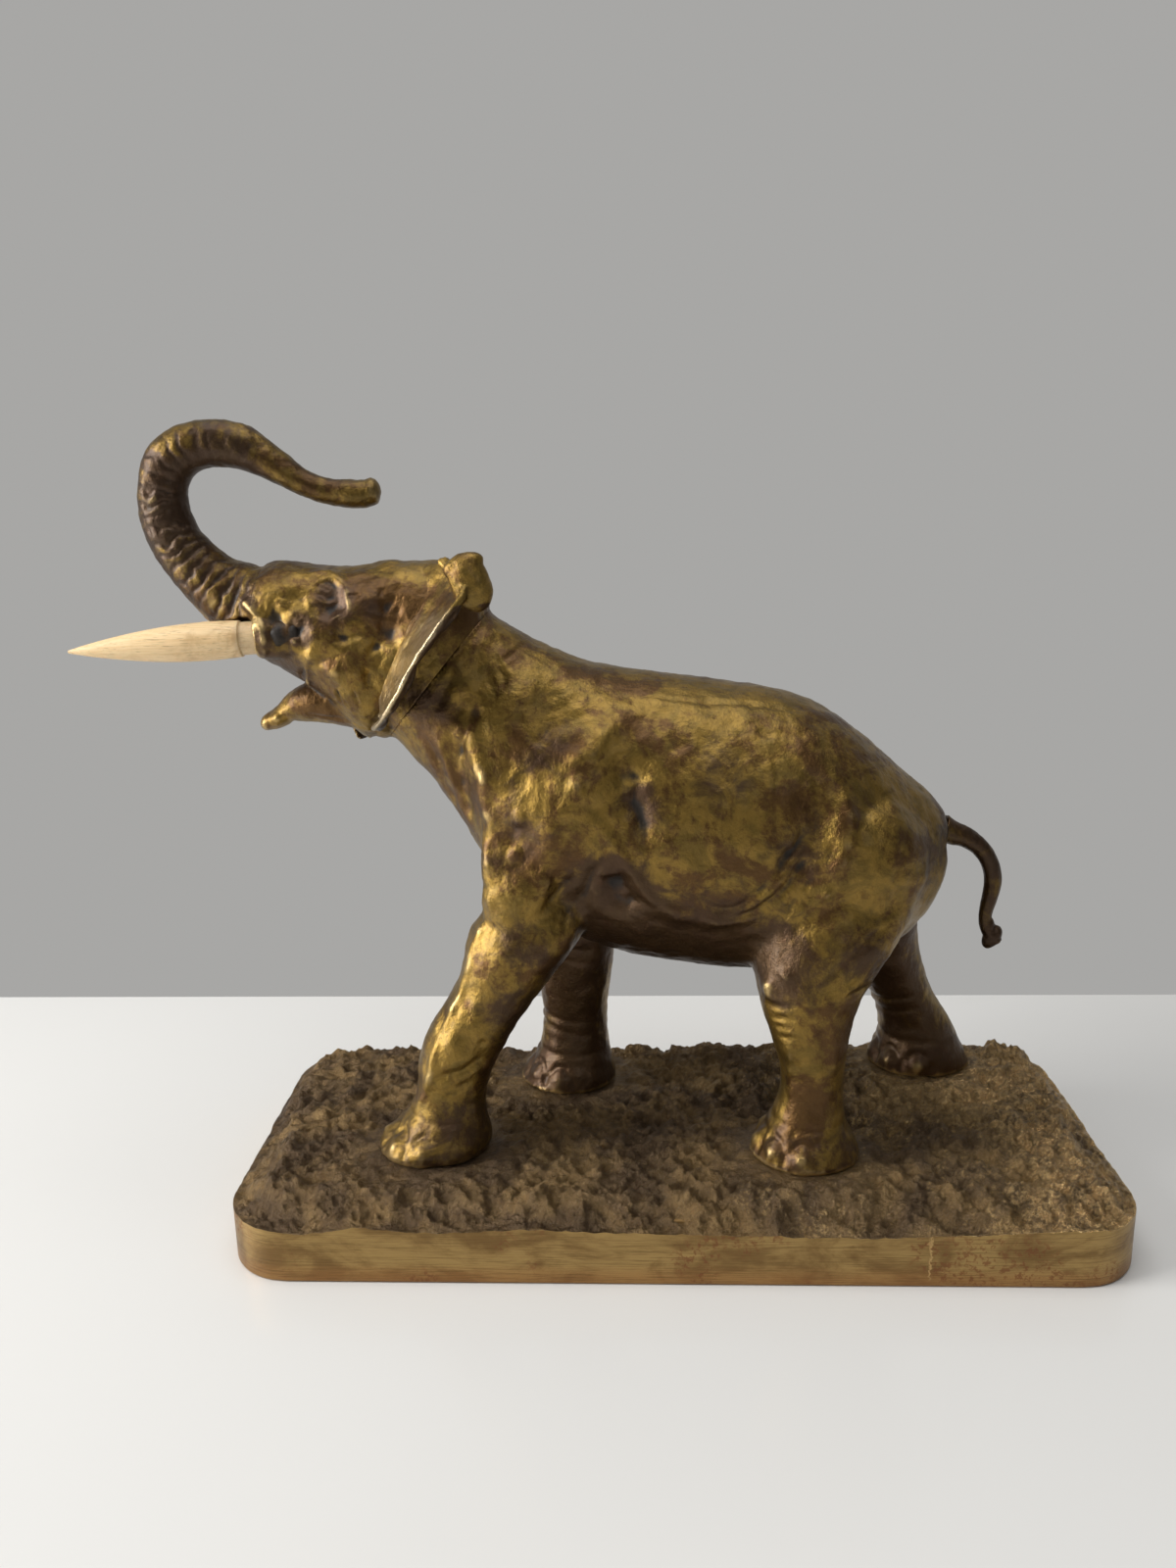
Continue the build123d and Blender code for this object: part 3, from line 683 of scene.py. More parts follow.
def chase_feet(skin, tree):
    """Five nails round the front of each foot, a crease over them, and wrinkled pads behind."""
    normals = skin.normals()
    lift = np.zeros(len(skin.places))
    finder = skin.finder()

    def on_foot(centre, degrees, level):
        turn = math.radians(degrees)
        away = Vector((-math.cos(turn), -math.sin(turn), 0))
        start = Vector((centre[0] * MM, centre[1] * MM, level * MM)) + away * 0.03
        return tree.ray_cast(start, -away)[0]

    def cut(depth, reach, line):
        line = [tuple(place) for place in line if place]
        if len(line) > 1:
            add_stroke(finder, lift, "crease", depth, reach, line)

    for centre, _ in FEET.values():
        for angle in NAIL_ANGLES:
            nail = on_foot(centre, angle, NAIL_LEVEL)
            if nail:
                add_stroke(finder, lift, "ridge", 1.3, 4.2, [tuple(nail)])
            cut(0.8, 1.5, [on_foot(centre, angle + turn, NAIL_LEVEL + rise) for turn, rise in NAIL_ARCH])
            cut(0.7, 1.5, [on_foot(centre, angle + 19, level) for level in (22, 26)])
        cut(0.5, 1.8, [on_foot(centre, angle, CUFF_LEVEL) for angle in range(-170, 180, 20)])
    skin.lift(normals, lift)


# Off legs: lines round the joint as (centre x, centre y, height, tilt), worked right round the leg
OFF_RINGS = (
    (-28.5, 21.5, 38.0, 2.0), (-28.2, 21.2, 42.0, 1.0), (-27.6, 19.5, 62.0, 2.0), (-27.4, 19.0, 66.0, 1.0),
    (71.5, 30.5, 42.0, -2.0), (69.5, 30.0, 46.0, -2.0), (60.5, 26.5, 62.0, -3.0), (59.0, 26.0, 66.0, -3.0),
)


def chase_off_legs(skin, tree):
    """Wrinkles round the joints of the legs on the far side."""
    normals = skin.normals()
    lift = np.zeros(len(skin.places))
    finder = skin.finder()
    for x, y, level, tilt in OFF_RINGS:
        ring = []
        for degrees in range(-120, 121, 20):
            turn = math.radians(degrees)
            away = Vector((-math.cos(turn), -math.sin(turn), 0))
            height = level + tilt * math.cos(turn)
            found = tree.ray_cast(Vector((x * MM, y * MM, height * MM)) + away * 0.022, -away)[0]
            if found:
                ring.append(tuple(found))
        if len(ring) > 1:
            add_stroke(finder, lift, "crease", 0.6, 1.7, ring)
    skin.lift(normals, lift)


# The trunk's middle line, for the wrinkles that run round it: x, z
TRUNK_LINE = (
    (-106, 163), (-113, 166.6), (-120.4, 172), (-127.2, 180.7), (-129.9, 191.8), (-126.4, 201.5),
    (-117.2, 205.1), (-107.3, 203.6), (-98.5, 198.3), (-89.5, 193.6), (-81.5, 192.1), (-74.4, 192.6),
)
WRINKLE_PITCH = 3.2
WRINKLE_DEPTH = 0.3


def wrinkle_trunk(skin):
    """Close cuts round the trunk that break up and die out towards its tip, and a plain outer edge."""
    line = [Vector((x * MM, MID_Y * MM, z * MM)) for x, z in TRUNK_LINE]
    steps = fill_in(rounded([tuple(point) for point in line]), 0.5)
    path = KDTree(len(steps))
    length = 0.0
    lengths = []
    for number, (place, _) in enumerate(steps):
        path.insert(place, number)
        if number:
            length += (place - steps[number - 1][0]).length
        lengths.append(length / MM)
    path.balance()
    normals = skin.normals()
    breaks = wave(skin.places, 5.0, 3.0)
    lift = np.zeros(len(skin.places))
    skin.stain = np.zeros(len(skin.places))
    near_mouth = skin.places[:, 0] < -0.094
    for number in np.nonzero(near_mouth | (skin.places[:, 2] > 0.186))[0]:
        place = Vector(skin.places[number])
        _, nearest, gap = path.find(place)
        if gap > 0.014 or place.z < 0.158:
            continue
        along = lengths[nearest]
        middle = steps[nearest][0]
        ahead = steps[min(nearest + 2, len(steps) - 1)][0] - steps[max(nearest - 2, 0)][0]
        outward = ahead.cross(Vector((0, 1, 0))).normalized()
        off = (place - middle).normalized()
        edge = abs(off.dot(outward))
        along += (place - middle).dot(ahead.normalized()) / MM
        fade = min(1.0, along / 7.0) * max(0.0, min(1.0, (74.0 - along) / 34.0))
        phase = along / WRINKLE_PITCH + breaks[number] * 0.55
        cut = (0.5 + 0.5 * math.cos(2 * math.pi * phase)) ** 3
        strength = fade * cut * (1 - edge ** 3) * (0.6 + 0.8 * max(0, breaks[number] + 0.5))
        lift[number] = -WRINKLE_DEPTH * 1.5 * strength
        skin.stain[number] = strength * 0.8
    skin.lift(normals, lift)


def grain_skin(skin):
    """Uneven hand modelling of the wax: soft lumps, then finer ones."""
    normals = skin.normals()
    lumps = wave(skin.places, 9.0, 1.0) * 0.36 + wave(skin.places, 3.2, 2.0) * 0.16
    fine = wave(skin.places * np.array((1.0, 1.0, 0.55)), 1.5, 4.0) * 0.085
    skin.lift(normals, lumps + fine)


# Where hands have rubbed the patina off, with painted highlights on the same spots, and where the skin is
# dark, from dark patina and from painted shade: (x, z), reach, strength, on both flanks
POLISH_AND_HIGHLIGHT_PLACES = (
    ((-50, 84), 3.4, 0.55), ((-53.5, 74), 3.2, 0.6), ((-57, 64), 3, 0.6), ((-61, 55), 3, 0.55),
    ((-64, 44), 3, 0.4), ((-48.5, 124), 3, 0.6), ((-47.5, 112), 3.5, 0.6), ((24, 68), 3, 0.5),
    ((29.5, 50), 3, 0.35), ((-76, 26), 5, 0.15), ((25, 26), 5, 0.12), ((-76, 174), 7, 0.2),
    ((-80.5, 166), 2.5, 0.4), ((-103, 162), 2.5, 0.5), ((2, 130), 9, 0.25), ((41, 106), 4, 0.25),
    ((-24, 136), 5, 0.25), ((30, 70), 3, 0.3),
)
LEG_TOP = 102.0
TRUNK_DIM, TAIL_DIM = 0.34, 0.28
TAIL_SPOT = (72, 103)
# Dark spots: dark patina, and painted shade in the eye hollow, the armpits and under the belly.
DARK_PATINA_AND_SHADE_PLACES = (
    ((-93.7, 159), 5, 0.7), ((-84, 165), 6, 0.6), ((-102, 158), 7, 0.5), ((-98, 148), 8, 0.5),
    ((-86.5, 168.5), 3.2, 0.7), ((-44, 62), 9, 0.45), ((-36, 78), 8, 0.4), ((-38, 110), 11, 0.35),
    ((-44, 102), 9, 0.3), ((-75, 165), 6, 0.35), ((-62, 140), 9, 0.45), ((-34, 128), 8, 0.4),
    ((-42, 120), 7, 0.3), ((-16, 92), 12, 0.9), ((-10, 84), 16, 0.7), ((10, 76), 20, 0.6),
    ((25, 76), 14, 0.6), ((-8, 116), 7, 0.5), ((30, 104), 9, 0.45), ((-40, 80), 9, 0.4),
    ((-56, 36), 9, 0.3), ((11, 124), 12, 0.35), ((48, 78), 9, 0.5), ((-125, 190), 16, 0.55),
    ((-112, 200), 12, 0.5), ((-30, 132), 7, 0.4), ((66, 96), 8, 0.3), ((72, 103), 9, 0.35),
    ((-104, 168), 8, 0.3),
)


def measure_wear_and_highlight(skin, fine=4, broad=26):
    """Store how hollow or how proud each place lies, at two scales; the proud places count as polished, with
    painted highlight spots added.
    """
    normals = skin.normals()
    near = ((skin.places - skin.smoothed(skin.places, fine)) * normals).sum(1) / MM
    far = ((skin.places - skin.smoothed(skin.places, broad)) * normals).sum(1) / MM
    near -= near.mean()
    far -= far.mean()
    near_spread, far_spread = near.std(), far.std()
    proud = skin.smoothed((near / near_spread * 0.09 + far / far_spread * 0.24)[:, None], 2)[:, 0]
    skin.store("hollow", -proud - 0.2)
    # Worn: polish on the proud places, plus the listed spots, which paint highlights on the front leg, chest
    # and other ridges.
    skin.store("worn_and_highlight", proud * 0.8 - 0.16 + skin.spots(POLISH_AND_HIGHLIGHT_PLACES, 0.0))


def darken(skin):
    """Store where the skin is dark: dark patina spots and the dark patina in the trunk's wrinkles, painted
    shade in the eye hollow, the armpits and under the belly, painted shade on the inner faces of the legs
    and on undersides, darker towards the bottom of the feet, and painted contact shade where the feet meet
    the ground.
    """
    normals = skin.normals()
    x, z = skin.measured(0), skin.measured(2)
    dark = skin.spots(DARK_PATINA_AND_SHADE_PLACES, 0.0)
    low = z < LEG_TOP
    # Painted shade on the inner faces of the legs and body, below the top of the legs.
    inner_shade = np.clip(-normals[:, 1] * np.sign(skin.places[:, 1] - MID_Y * MM), 0, 1)
    dark += 0.55 * inner_shade * low
    # Painted shade on faces turned downwards.
    dark += 0.35 * np.clip(-normals[:, 2] - 0.2, 0, 1)
    # Darker towards the bottom of the legs.
    feet = np.clip((36 - z) / 6, 0, 1)
    dark += 0.3 * feet
    # Painted contact shade where the feet meet the ground.
    contact_shade = np.clip(1 - (z - 20.5) / 2.2, 0, 1)
    dark += 0.8 * contact_shade
    skin.store("dark", dark + skin.stain)
    up_trunk = np.clip((-97 - x) / 14, 0, 1) * np.clip((z - 158) / 6, 0, 1)
    up_trunk = np.maximum(up_trunk, np.clip((z - 184) / 6, 0, 1))
    skin.store("dim", TRUNK_DIM * up_trunk + TAIL_DIM * np.exp(-((skin.gap_to(*TAIL_SPOT) / 8) ** 2)))


def cut_piece(source, name, keep, finish, below=1000.0):
    """Copy the part of a skin on the kept side of each plane. Cuts are closed, and stay below a height."""
    made = add_object(name, source.data.copy())
    bm = bmesh.new()
    bm.from_mesh(made.data)
    for point, normal in keep:
        low = {vert for vert in bm.verts if vert.co.z < below * MM}
        everything = list(low)
        everything += [edge for edge in bm.edges if set(edge.verts) <= low]
        everything += [face for face in bm.faces if set(face.verts) <= low]
        cut = bmesh.ops.bisect_plane(
            bm, geom=everything, plane_co=Vector(point) * MM, plane_no=normal, clear_outer=True, dist=1e-7,
        )
        rim = [part for part in cut["geom_cut"] if isinstance(part, bmesh.types.BMEdge)]
        bmesh.ops.holes_fill(bm, edges=rim, sides=0)
    bm.to_mesh(made.data)
    bm.free()
    wear(made, finish)
    for polygon in made.data.polygons:
        polygon.use_smooth = True
    return made


def loose_from(source, name, keep, seed, finish, below=1000.0):
    """Like cut_piece, but only the shell that holds the point nearest to seed."""
    made = cut_piece(source, name, keep, finish, below)
    bm = bmesh.new()
    bm.from_mesh(made.data)
    start = min(bm.verts, key=lambda vert: (vert.co - Vector(seed) * MM).length)
    reached, waiting = {start}, [start]
    while waiting:
        for edge in waiting.pop().link_edges:
            for vert in edge.verts:
                if vert not in reached:
                    reached.add(vert)
                    waiting.append(vert)
    bmesh.ops.delete(bm, geom=[vert for vert in bm.verts if vert not in reached], context="VERTS")
    bm.to_mesh(made.data)
    bm.free()
    return made


def along(rise):
    """Direction that travels towards the head and rises by these degrees."""
    return Vector((-math.cos(math.radians(rise)), 0, math.sin(math.radians(rise))))


NECK = ((-60.5, MID_Y, 146.0), along(40))
TRUNK_ROOT = ((-106.0, MID_Y, 163.0), along(6))
TAIL_ROOT = ((71.9, MID_Y, 102.6), along(208))
# Where a pin hole is stopped, as x, z, radius and the y it runs between, and where a spigot's seat is
PIN_HOLES = ((-56.7, 142.8, 2.2, -4, 19.5), (-101.0, 162.5, 1.6, -2, 16.5), (67.9, 104.7, 1.5, 0, 15.0))
SPIGOTS = ((NECK, 12, 3, 9.0), (TRUNK_ROOT, 10, 2, 5.4), (TAIL_ROOT, 9, 2, 3.0))
CROWN = ((-71.5, MID_Y, 166.5), (10.0, 9.0, 9.0), 10)
TRUNK_TIP = ((-76.0, MID_Y, 192.6), (2.6, 3.9, 3.4), 0)


# Muscle and bone under the skin: place, radii, turn about Y
MUSCLES = (
    ((-39.6, -11, 99), (10.2, 10.0, 18), 4),
    ((-39.2, -11.2, 91), (10.4, 13.0, 15), 14),
    ((-33, -8, 112), (16, 14.5, 20), 20),
    ((-33, 17, 110), (15, 13.5, 22), 10),
    ((48, -9, 98), (17, 16.5, 20), -8),
    ((50, 16, 98), (17, 15.5, 20), -8),
    ((69.0, MID_Y, 103.0), (7.5, 5.6, 4.4), 30),
    ((-109.3, MID_Y, 171.0), (7.0, 6.6, 4.2), 30),
    ((-103.6, MID_Y, 135.0), (4.8, 4.8, 2.9), -28),
    ((-106.6, MID_Y, 133.9), (3.2, 3.6, 2.3), -34),
)
# Where the limbs run into the trunk of the body: (x, z), reach
RUN_INTO = (
    ((-38, 96), 17), ((-24, 98), 15), ((35, 92), 18), ((58, 90), 16), ((-58, 128), 14), ((66, 102), 10),
    ((10, 78), 20), ((-109, 172), 7),
)


def soften_joins(skin):
    """Let the limbs and the neck flow into the body."""
    soft = skin.smoothed(skin.places, 60)
    share = np.zeros(len(skin.places))
    for (x, z), reach in RUN_INTO:
        share = np.maximum(share, np.exp(-((skin.gap_to(x, z) / reach) ** 4)))
    skin.places = skin.places * (1 - share[:, None]) + soft * share[:, None]


def build_tail(finish):
    """The tail, with its small curled tuft."""
    bm = bmesh.new()
    copy_of_node(bm, "tail")
    add_ball(bm, (87.2, MID_Y, 71.4), (2.3, 2.0, 3.6), 30)
    add_ball(bm, (86.0, MID_Y, 74.5), (1.7, 1.8, 3.0), 0)
    made = remeshed("tail_skin", bm, 0.35)
    skin = Skin(made)
    skin.relax(4)
    normals = skin.normals()
    skin.lift(normals, wave(skin.places * np.array((1, 1, 0.3)), 2.2, 5.0) * 0.16)
    measure_wear_and_highlight(skin, 6, 30)
    skin.store("dark", 0.2 + 0.25 * np.clip(skin.gap_to(*TAIL_SPOT) / 10, 0, 1))
    skin.store("dim", np.full(len(skin.places), TAIL_DIM))
    skin.push()
    wear(made, finish)
    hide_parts("tail")
    return made


TRUNK_CURL = 182.0  # the height over which the trunk curls back past the face


def build_animal_solid():
    """The castings with their pin holes stopped."""
    bm = bmesh.new()
    for node in ("body_casting", "head_casting", "trunk_casting"):
        copy_of_node(bm, node)
    for x, z, radius, start, end in PIN_HOLES:
        add_plug(bm, (x, start, z), (x, end, z), radius)
    for (place, way), back, ahead, radius in SPIGOTS:
        add_plug(bm, Vector(place) - way * back, Vector(place) + way * ahead, radius)
    for name in FEET:
        low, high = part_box("foot_screw_" + name)
        screw = (low + high) / 2 / MM
        add_plug(bm, (screw.x, screw.y, 21.3), (screw.x, screw.y, 35), 3.4)
    for place, radii, turn in MUSCLES:
        add_ball(bm, place, radii, turn, 32)
    for place, radii, turn in (CROWN, TRUNK_TIP):
        add_ball(bm, place, radii, turn)
    return bm


def build_animal(finishes):
    pieces = []
    coarse = remeshed("coarse_animal", build_animal_solid(), 0.8)
    fine = remeshed("fine_animal", build_animal_solid(), 0.5)
    for thing, head in ((coarse, False), (fine, True)):
        skin = Skin(thing)
        skin.relax(5)
        soften_joins(skin)
        tree = skin.tree()
        chase(skin, tree, FLANK, (LEFT, RIGHT))
        if head:
            chase(skin, tree, HEAD, (LEFT, RIGHT))
            wrinkle_trunk(skin)
        else:
            chase(skin, tree, NEAR_LEGS, (LEFT,))
            chase_feet(skin, tree)
            chase_off_legs(skin, tree)
        grain_skin(skin)
        if head:
            measure_wear_and_highlight(skin, 6, 40)
        else:
            measure_wear_and_highlight(skin)
        darken(skin)
        skin.push()
    front_of_neck = (NECK[0], -NECK[1])
    beyond_face = (TRUNK_ROOT[0], -TRUNK_ROOT[1])
    skin = finishes["skin"]
    body = loose_from(coarse, "body_skin", [NECK], (0, 4, 66), skin)
    head = loose_from(fine, "head_skin", [front_of_neck, TRUNK_ROOT], (-90, 4, 175), skin)
    trunk = loose_from(fine, "trunk_skin", [beyond_face], (-130, 4, 198), skin, TRUNK_CURL)
    for piece, node in ((body, "body_casting"), (head, "head_casting"), (trunk, "trunk_casting")):
        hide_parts(node)
        pieces.append(piece)
    pieces.append(build_tail(finishes["skin"]))
    bpy.data.objects.remove(coarse)
    bpy.data.objects.remove(fine)
    return pieces


# ------------------------------------------------------------------ ears
# Root line on the cheek and rim, from the lower tip to the top, of the left ear: x, y, z
EAR_ROOT = (
    (-76.5, -7.0, 136.5), (-77.5, -7, 142), (-76.5, -7, 149), (-72.5, -6.5, 158), (-67, -4.5, 167),
    (-63.5, -2.5, 173), (-61, -1, 175),
)
EAR_RIM = (
    (-74.6, -16, 135.4), (-71.2, -22, 138.4), (-66.6, -25.5, 144.6), (-60.8, -26.5, 154),
    (-53.8, -25.5, 163.2), (-49.8, -22, 169.6), (-56.0, -15, 175.6),
)
EAR_LOBE = ((-48.6, -18.5, 170.8), (5.0, 3.8, 7.4), -22)


def curve_at(points, share):
    """A smooth line through points, at a share of its way."""
    spot = share * (len(points) - 1)
    index = min(int(spot), len(points) - 2)
    t = spot - index
    p = [Vector(points[max(0, min(len(points) - 1, index + k))]) for k in (-1, 0, 1, 2)]
    bend = (2 * p[0] - 5 * p[1] + 4 * p[2] - p[3]) * t ** 2
    twist = (3 * p[1] - p[0] - 3 * p[2] + p[3]) * t ** 3
    return 0.5 * (2 * p[1] + (p[2] - p[0]) * t + bend + twist)


def build_ear(side, finish):
    """A flared sheet whose front face flows out of the cheek, with its top rolled back into a lobe."""
    shift = Vector((0, 0, 0)) if side == LEFT else Vector((-10.5, 0.5, -10.0))
    rows, columns = 60, 26
    bm = bmesh.new()
    bmesh.ops.create_grid(bm, x_segments=columns, y_segments=rows, size=0.5)
    for vert in bm.verts:
        out, up = vert.co.x + 0.5, vert.co.y + 0.5
        root, rim = curve_at(EAR_ROOT, up), curve_at(EAR_RIM, up)
        middle = root.lerp(rim, 0.55) + Vector((2.2, 5.6, -0.6))
        place = root.lerp(middle, out).lerp(middle.lerp(rim, out), out)
        frill = 0.45 * math.sin(up * 21.0) * out ** 2 + 0.3 * math.sin(up * 47.0 + 1.0) * out ** 4
        place += Vector((frill, frill * 0.5, 0))
        if side == RIGHT:
            place.y = 2 * MID_Y - place.y
        vert.co = (place + shift) * MM
    bmesh.ops.recalc_face_normals(bm, faces=bm.faces)
    bmesh.ops.solidify(bm, geom=bm.faces[:], thickness=1.5 * MM)
    (x, y, z), radii, turn = EAR_LOBE
    if side == RIGHT:
        y = 2 * MID_Y - y
    add_ball(bm, (x + shift.x, y, z + shift.z), radii, turn)
    add_ball(bm, (x - 1.5 + shift.x, y, z + 4.2 + shift.z), (5.2, 2.8, 2.8), turn)
    beads = 90
    for bead in range(beads + 1):
        rim = curve_at(EAR_RIM, bead / beads)
        place = (rim.x, rim.y if side == LEFT else 2 * MID_Y - rim.y, rim.z)
        thick = 0.75 + 0.3 * bead / beads
        add_ball(bm, Vector(place) + shift, (thick, thick, 1.2), 35, 10)
    made = remeshed("ear_skin_" + ("left" if side == LEFT else "right"), bm, 0.42)
    skin = Skin(made)
    skin.places = skin.smoothed(skin.places, 3, 0.5)
    normals = skin.normals()
    skin.lift(normals, wave(skin.places, 4.0, 6.0) * 0.22)
    measure_wear_and_highlight(skin, 5, 30)
    normals = skin.normals()
    levels = [curve_at(EAR_RIM, share / 40) + shift for share in range(37)]
    x, z = skin.measured(0), skin.measured(2)
    rim_x = np.interp(z, [rim.z for rim in levels], [rim.x for rim in levels])
    # Painted shade on the back of the ear, behind the rim and on faces turned away: stored as dark and as
    # hollow.
    behind = np.clip((x - rim_x - 0.6) / 1.2, 0, 1) * (z < 162.5 + shift.z)
    behind = np.maximum(behind, np.clip(normals[:, 0], 0, 1) * (z < 166 + shift.z))
    skin.store("dark", 0.05 + behind * 0.95)
    skin.store("dim", np.zeros(len(skin.places)))
    skin.store("hollow", behind * 0.8 - 0.1)
    # Painted highlight on the ear's front face, brightest near the rim, stored with the wear values.
    front = np.exp(-np.abs(x - rim_x + 0.4) / 9) * (1 - behind)
    front *= np.clip((168 + shift.z - z) / 6, 0, 1)
    skin.store("worn_and_highlight", front * 0.72 + 0.12 * (1 - behind))
    skin.push()
    wear(made, finish)
    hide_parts("ear_left" if side == LEFT else "ear_right")
    return made


# ------------------------------------------------------------------ ground plate
PLATE = (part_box("base_casting")[1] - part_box("base_casting")[0]) / MM
HALF_LENGTH, HALF_WIDTH = PLATE.x / 2, PLATE.y / 2
CORNER = 17.0
WALL = 5.0
CEILING = 15.5
# Height of the rough ground's front edge along the plate: x, z
FRONT_EDGE = (
    (-116, 14.6), (-100, 14.2), (-93, 13.6), (-80, 15.6), (-60, 13.9), (-37, 15.4),
    (-10, 14.5), (20, 13.9), (50, 13.5), (75, 14.6), (95, 15.8), (116, 15.2),
)
GROUND_LEVEL = 20.9
HIGHEST_GROUND = 23.6
STONE = ((-35, -40), 2.6, 2.2)  # one stone at the front edge: place, reach, height
# From the rocky top down the side, round the bottom edge and up into the hollow: height, distance inside
SIDE_PROFILE = (
    (12.6, 0.0), (7.0, 0.0), (0.7, 0.0), (0.15, 0.25), (0.0, 0.8), (0.0, WALL - 0.5), (0.6, WALL),
    (CEILING - 1.5, WALL), (CEILING, WALL + 1.5),
)
RIB_SIZE = (9, 88, 13.4)
RIB_CENTRE = (0, 0, 8.8)


def half_length_at(y):
    """The plate's half length on the row at this y."""
    past = abs(y) - (HALF_WIDTH - CORNER)
    if past <= 0:
        return HALF_LENGTH
    return HALF_LENGTH - CORNER + math.sqrt(max(0.0, CORNER ** 2 - past ** 2))


def edge_distance(x, y):
    """How far inside the plate's outline a place lies."""
    corner_x, corner_y = abs(x) - (HALF_LENGTH - CORNER), abs(y) - (HALF_WIDTH - CORNER)
    if corner_x > 0 and corner_y > 0:
        return CORNER - math.hypot(corner_x, corner_y)
    return CORNER - max(corner_x, corner_y)


def ground_height(x, y):
    """The rocky ground: a wavy low edge that climbs to the level the feet stand on."""
    spot = Vector((x, y, 0.0))
    inside = max(0.0, edge_distance(x, y))
    edge = np.interp(x, *zip(*FRONT_EDGE)) + (0.5 if y > 0 else 0.0)
    climb_to = GROUND_LEVEL - 0.6 + 0.9 * noise.noise(spot / 31.0)
    back_lift = max(0.0, y / HALF_WIDTH) * (1.2 if x > 0 else -1.0)
    reach = 11.0 if y < 0 else 8.0
    share = min(1.0, inside / reach)
    share = share * share * (3 - 2 * share)
    ragged = 0.22 * noise.noise(spot / 9.0 + Vector((4, 4, 4))) * min(1.0, inside / 3)
    share = max(0.0, min(1.0, share + ragged))
    height = edge + (climb_to + back_lift - edge) * share
    rough = min(1.0, 0.18 + inside / 5.0)
    crags = noise.ridged_multi_fractal(spot / 13.0, 0.9, 2.1, 4, 1.0, 2.0) - 1.2
    rubble = noise.fractal(spot / 3.2, 0.8, 2.2, 3)
    lumps = 1.3 * noise.noise(spot / 6.5) + 0.5 * noise.noise(spot / 2.1 + Vector((9, 9, 9)))
    chips = noise.noise(spot / 1.5 + Vector((3, 7, 1)))
    height += rough * (1.3 * crags + 1.9 * rubble + lumps + 0.6 * chips)
    for (foot_x, foot_y), (half_x, half_y) in FEET.values():
        gap = math.hypot((x - foot_x) / (half_x + 1.0), (y - foot_y) / (half_y + 1.0))
        if gap < 1.7:
            settle = max(0.0, min(1.0, (1.7 - gap) / 0.7))
            height = height * (1 - settle) + (GROUND_LEVEL + 0.25 * rubble) * settle
            height += 0.7 * math.exp(-(((gap - 1.16) / 0.09) ** 2)) * (0.6 + 0.4 * noise.noise(spot / 5.0))
    (stone_x, stone_y), stone_reach, stone_height = STONE
    height += stone_height * math.exp(-(math.hypot(x - stone_x, (y - stone_y) * 1.1) / stone_reach) ** 2)
    return min(height, HIGHEST_GROUND)


def build_ground_plate(finishes):
    """The plate: rocky top, upright brushed sides, and a hollow underneath with one rib across it."""
    bm = bmesh.new()
    columns, rows = 300, 140
    bmesh.ops.create_grid(bm, x_segments=columns, y_segments=rows, size=1.0)
    for vert in bm.verts:
        across, y = vert.co.x, math.sin(vert.co.y * math.pi / 2) * 0.35 + vert.co.y * 0.65
        y *= HALF_WIDTH
        x = across * half_length_at(y)
        vert.co = Vector((x, y, ground_height(x, y))) * MM
    top_faces = set(bm.faces)

    def drop(edges, level, inset):
        """Carry the open edge to a level, with its outline this far inside the plate's."""
        made = bmesh.ops.extrude_edge_only(bm, edges=edges)["geom"]
        for vert in [part for part in made if isinstance(part, bmesh.types.BMVert)]:
            x, y = vert.co.x / MM, vert.co.y / MM
            move_in = inset - edge_distance(x, y)
            flat_x, flat_y = HALF_LENGTH - CORNER, HALF_WIDTH - CORNER
            centre = Vector((max(-1, min(1, x / flat_x)) * flat_x, max(-1, min(1, y / flat_y)) * flat_y))
            way = Vector((x, y)) - centre
            if way.length > 1e-6:
                way = way.normalized() * (way.length - move_in)
            vert.co = Vector((centre.x + way.x, centre.y + way.y, level)) * MM
        return [part for part in made if isinstance(part, bmesh.types.BMEdge)]

    open_edge = [edge for edge in bm.edges if edge.is_boundary]
    for level, inset in SIDE_PROFILE:
        open_edge = drop(open_edge, level, inset)
    bmesh.ops.holes_fill(bm, edges=open_edge, sides=0)
    bmesh.ops.recalc_face_normals(bm, faces=bm.faces)
    matrix = Matrix.Translation(Vector(RIB_CENTRE) * MM) @ Matrix.Diagonal(Vector(RIB_SIZE) * MM).to_4x4()
    rib = bmesh.ops.create_cube(bm, size=1.0, matrix=matrix)
    bevelled = list({edge for vert in rib["verts"] for edge in vert.link_edges})
    bmesh.ops.bevel(bm, geom=bevelled, offset=0.8 * MM, segments=2, profile=0.5, affect="EDGES", material=-1)
    for face in bm.faces:
        face.material_index = 0 if face in top_faces else 1
        face.smooth = True
    made = object_from(bm, "ground_plate")
    skin = Skin(made)
    measure_wear_and_highlight(skin, 2, 12)
    golden = np.clip(0.35 + skin.places[:, 0] / 0.2 + wave(skin.places, 30.0, 8.0) * 0.4, 0, 1)
    skin.store("golden", golden)
    skin.push()
    made.data.materials.append(finishes["ground"])
    made.data.materials.append(finishes["rim"])
    corner = made.data.attributes.new("sharp_edge", "BOOLEAN", "EDGE")
    faces_of = {}
    for polygon in made.data.polygons:
        for key in polygon.edge_keys:
            faces_of.setdefault(key, set()).add(polygon.material_index)
    for edge in made.data.edges:
        corner.data[edge.index].value = len(faces_of[tuple(sorted(edge.vertices))]) > 1
    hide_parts("base_casting")
    return made


# ------------------------------------------------------------------ camera, stage and light
CAMERA_PLACE = (-9.1, -302.5, 190.7)
CAMERA_PITCH, CAMERA_YAW, CAMERA_ROLL = 13.787, -2.473, -1.147
CAMERA_LENS = 27.05


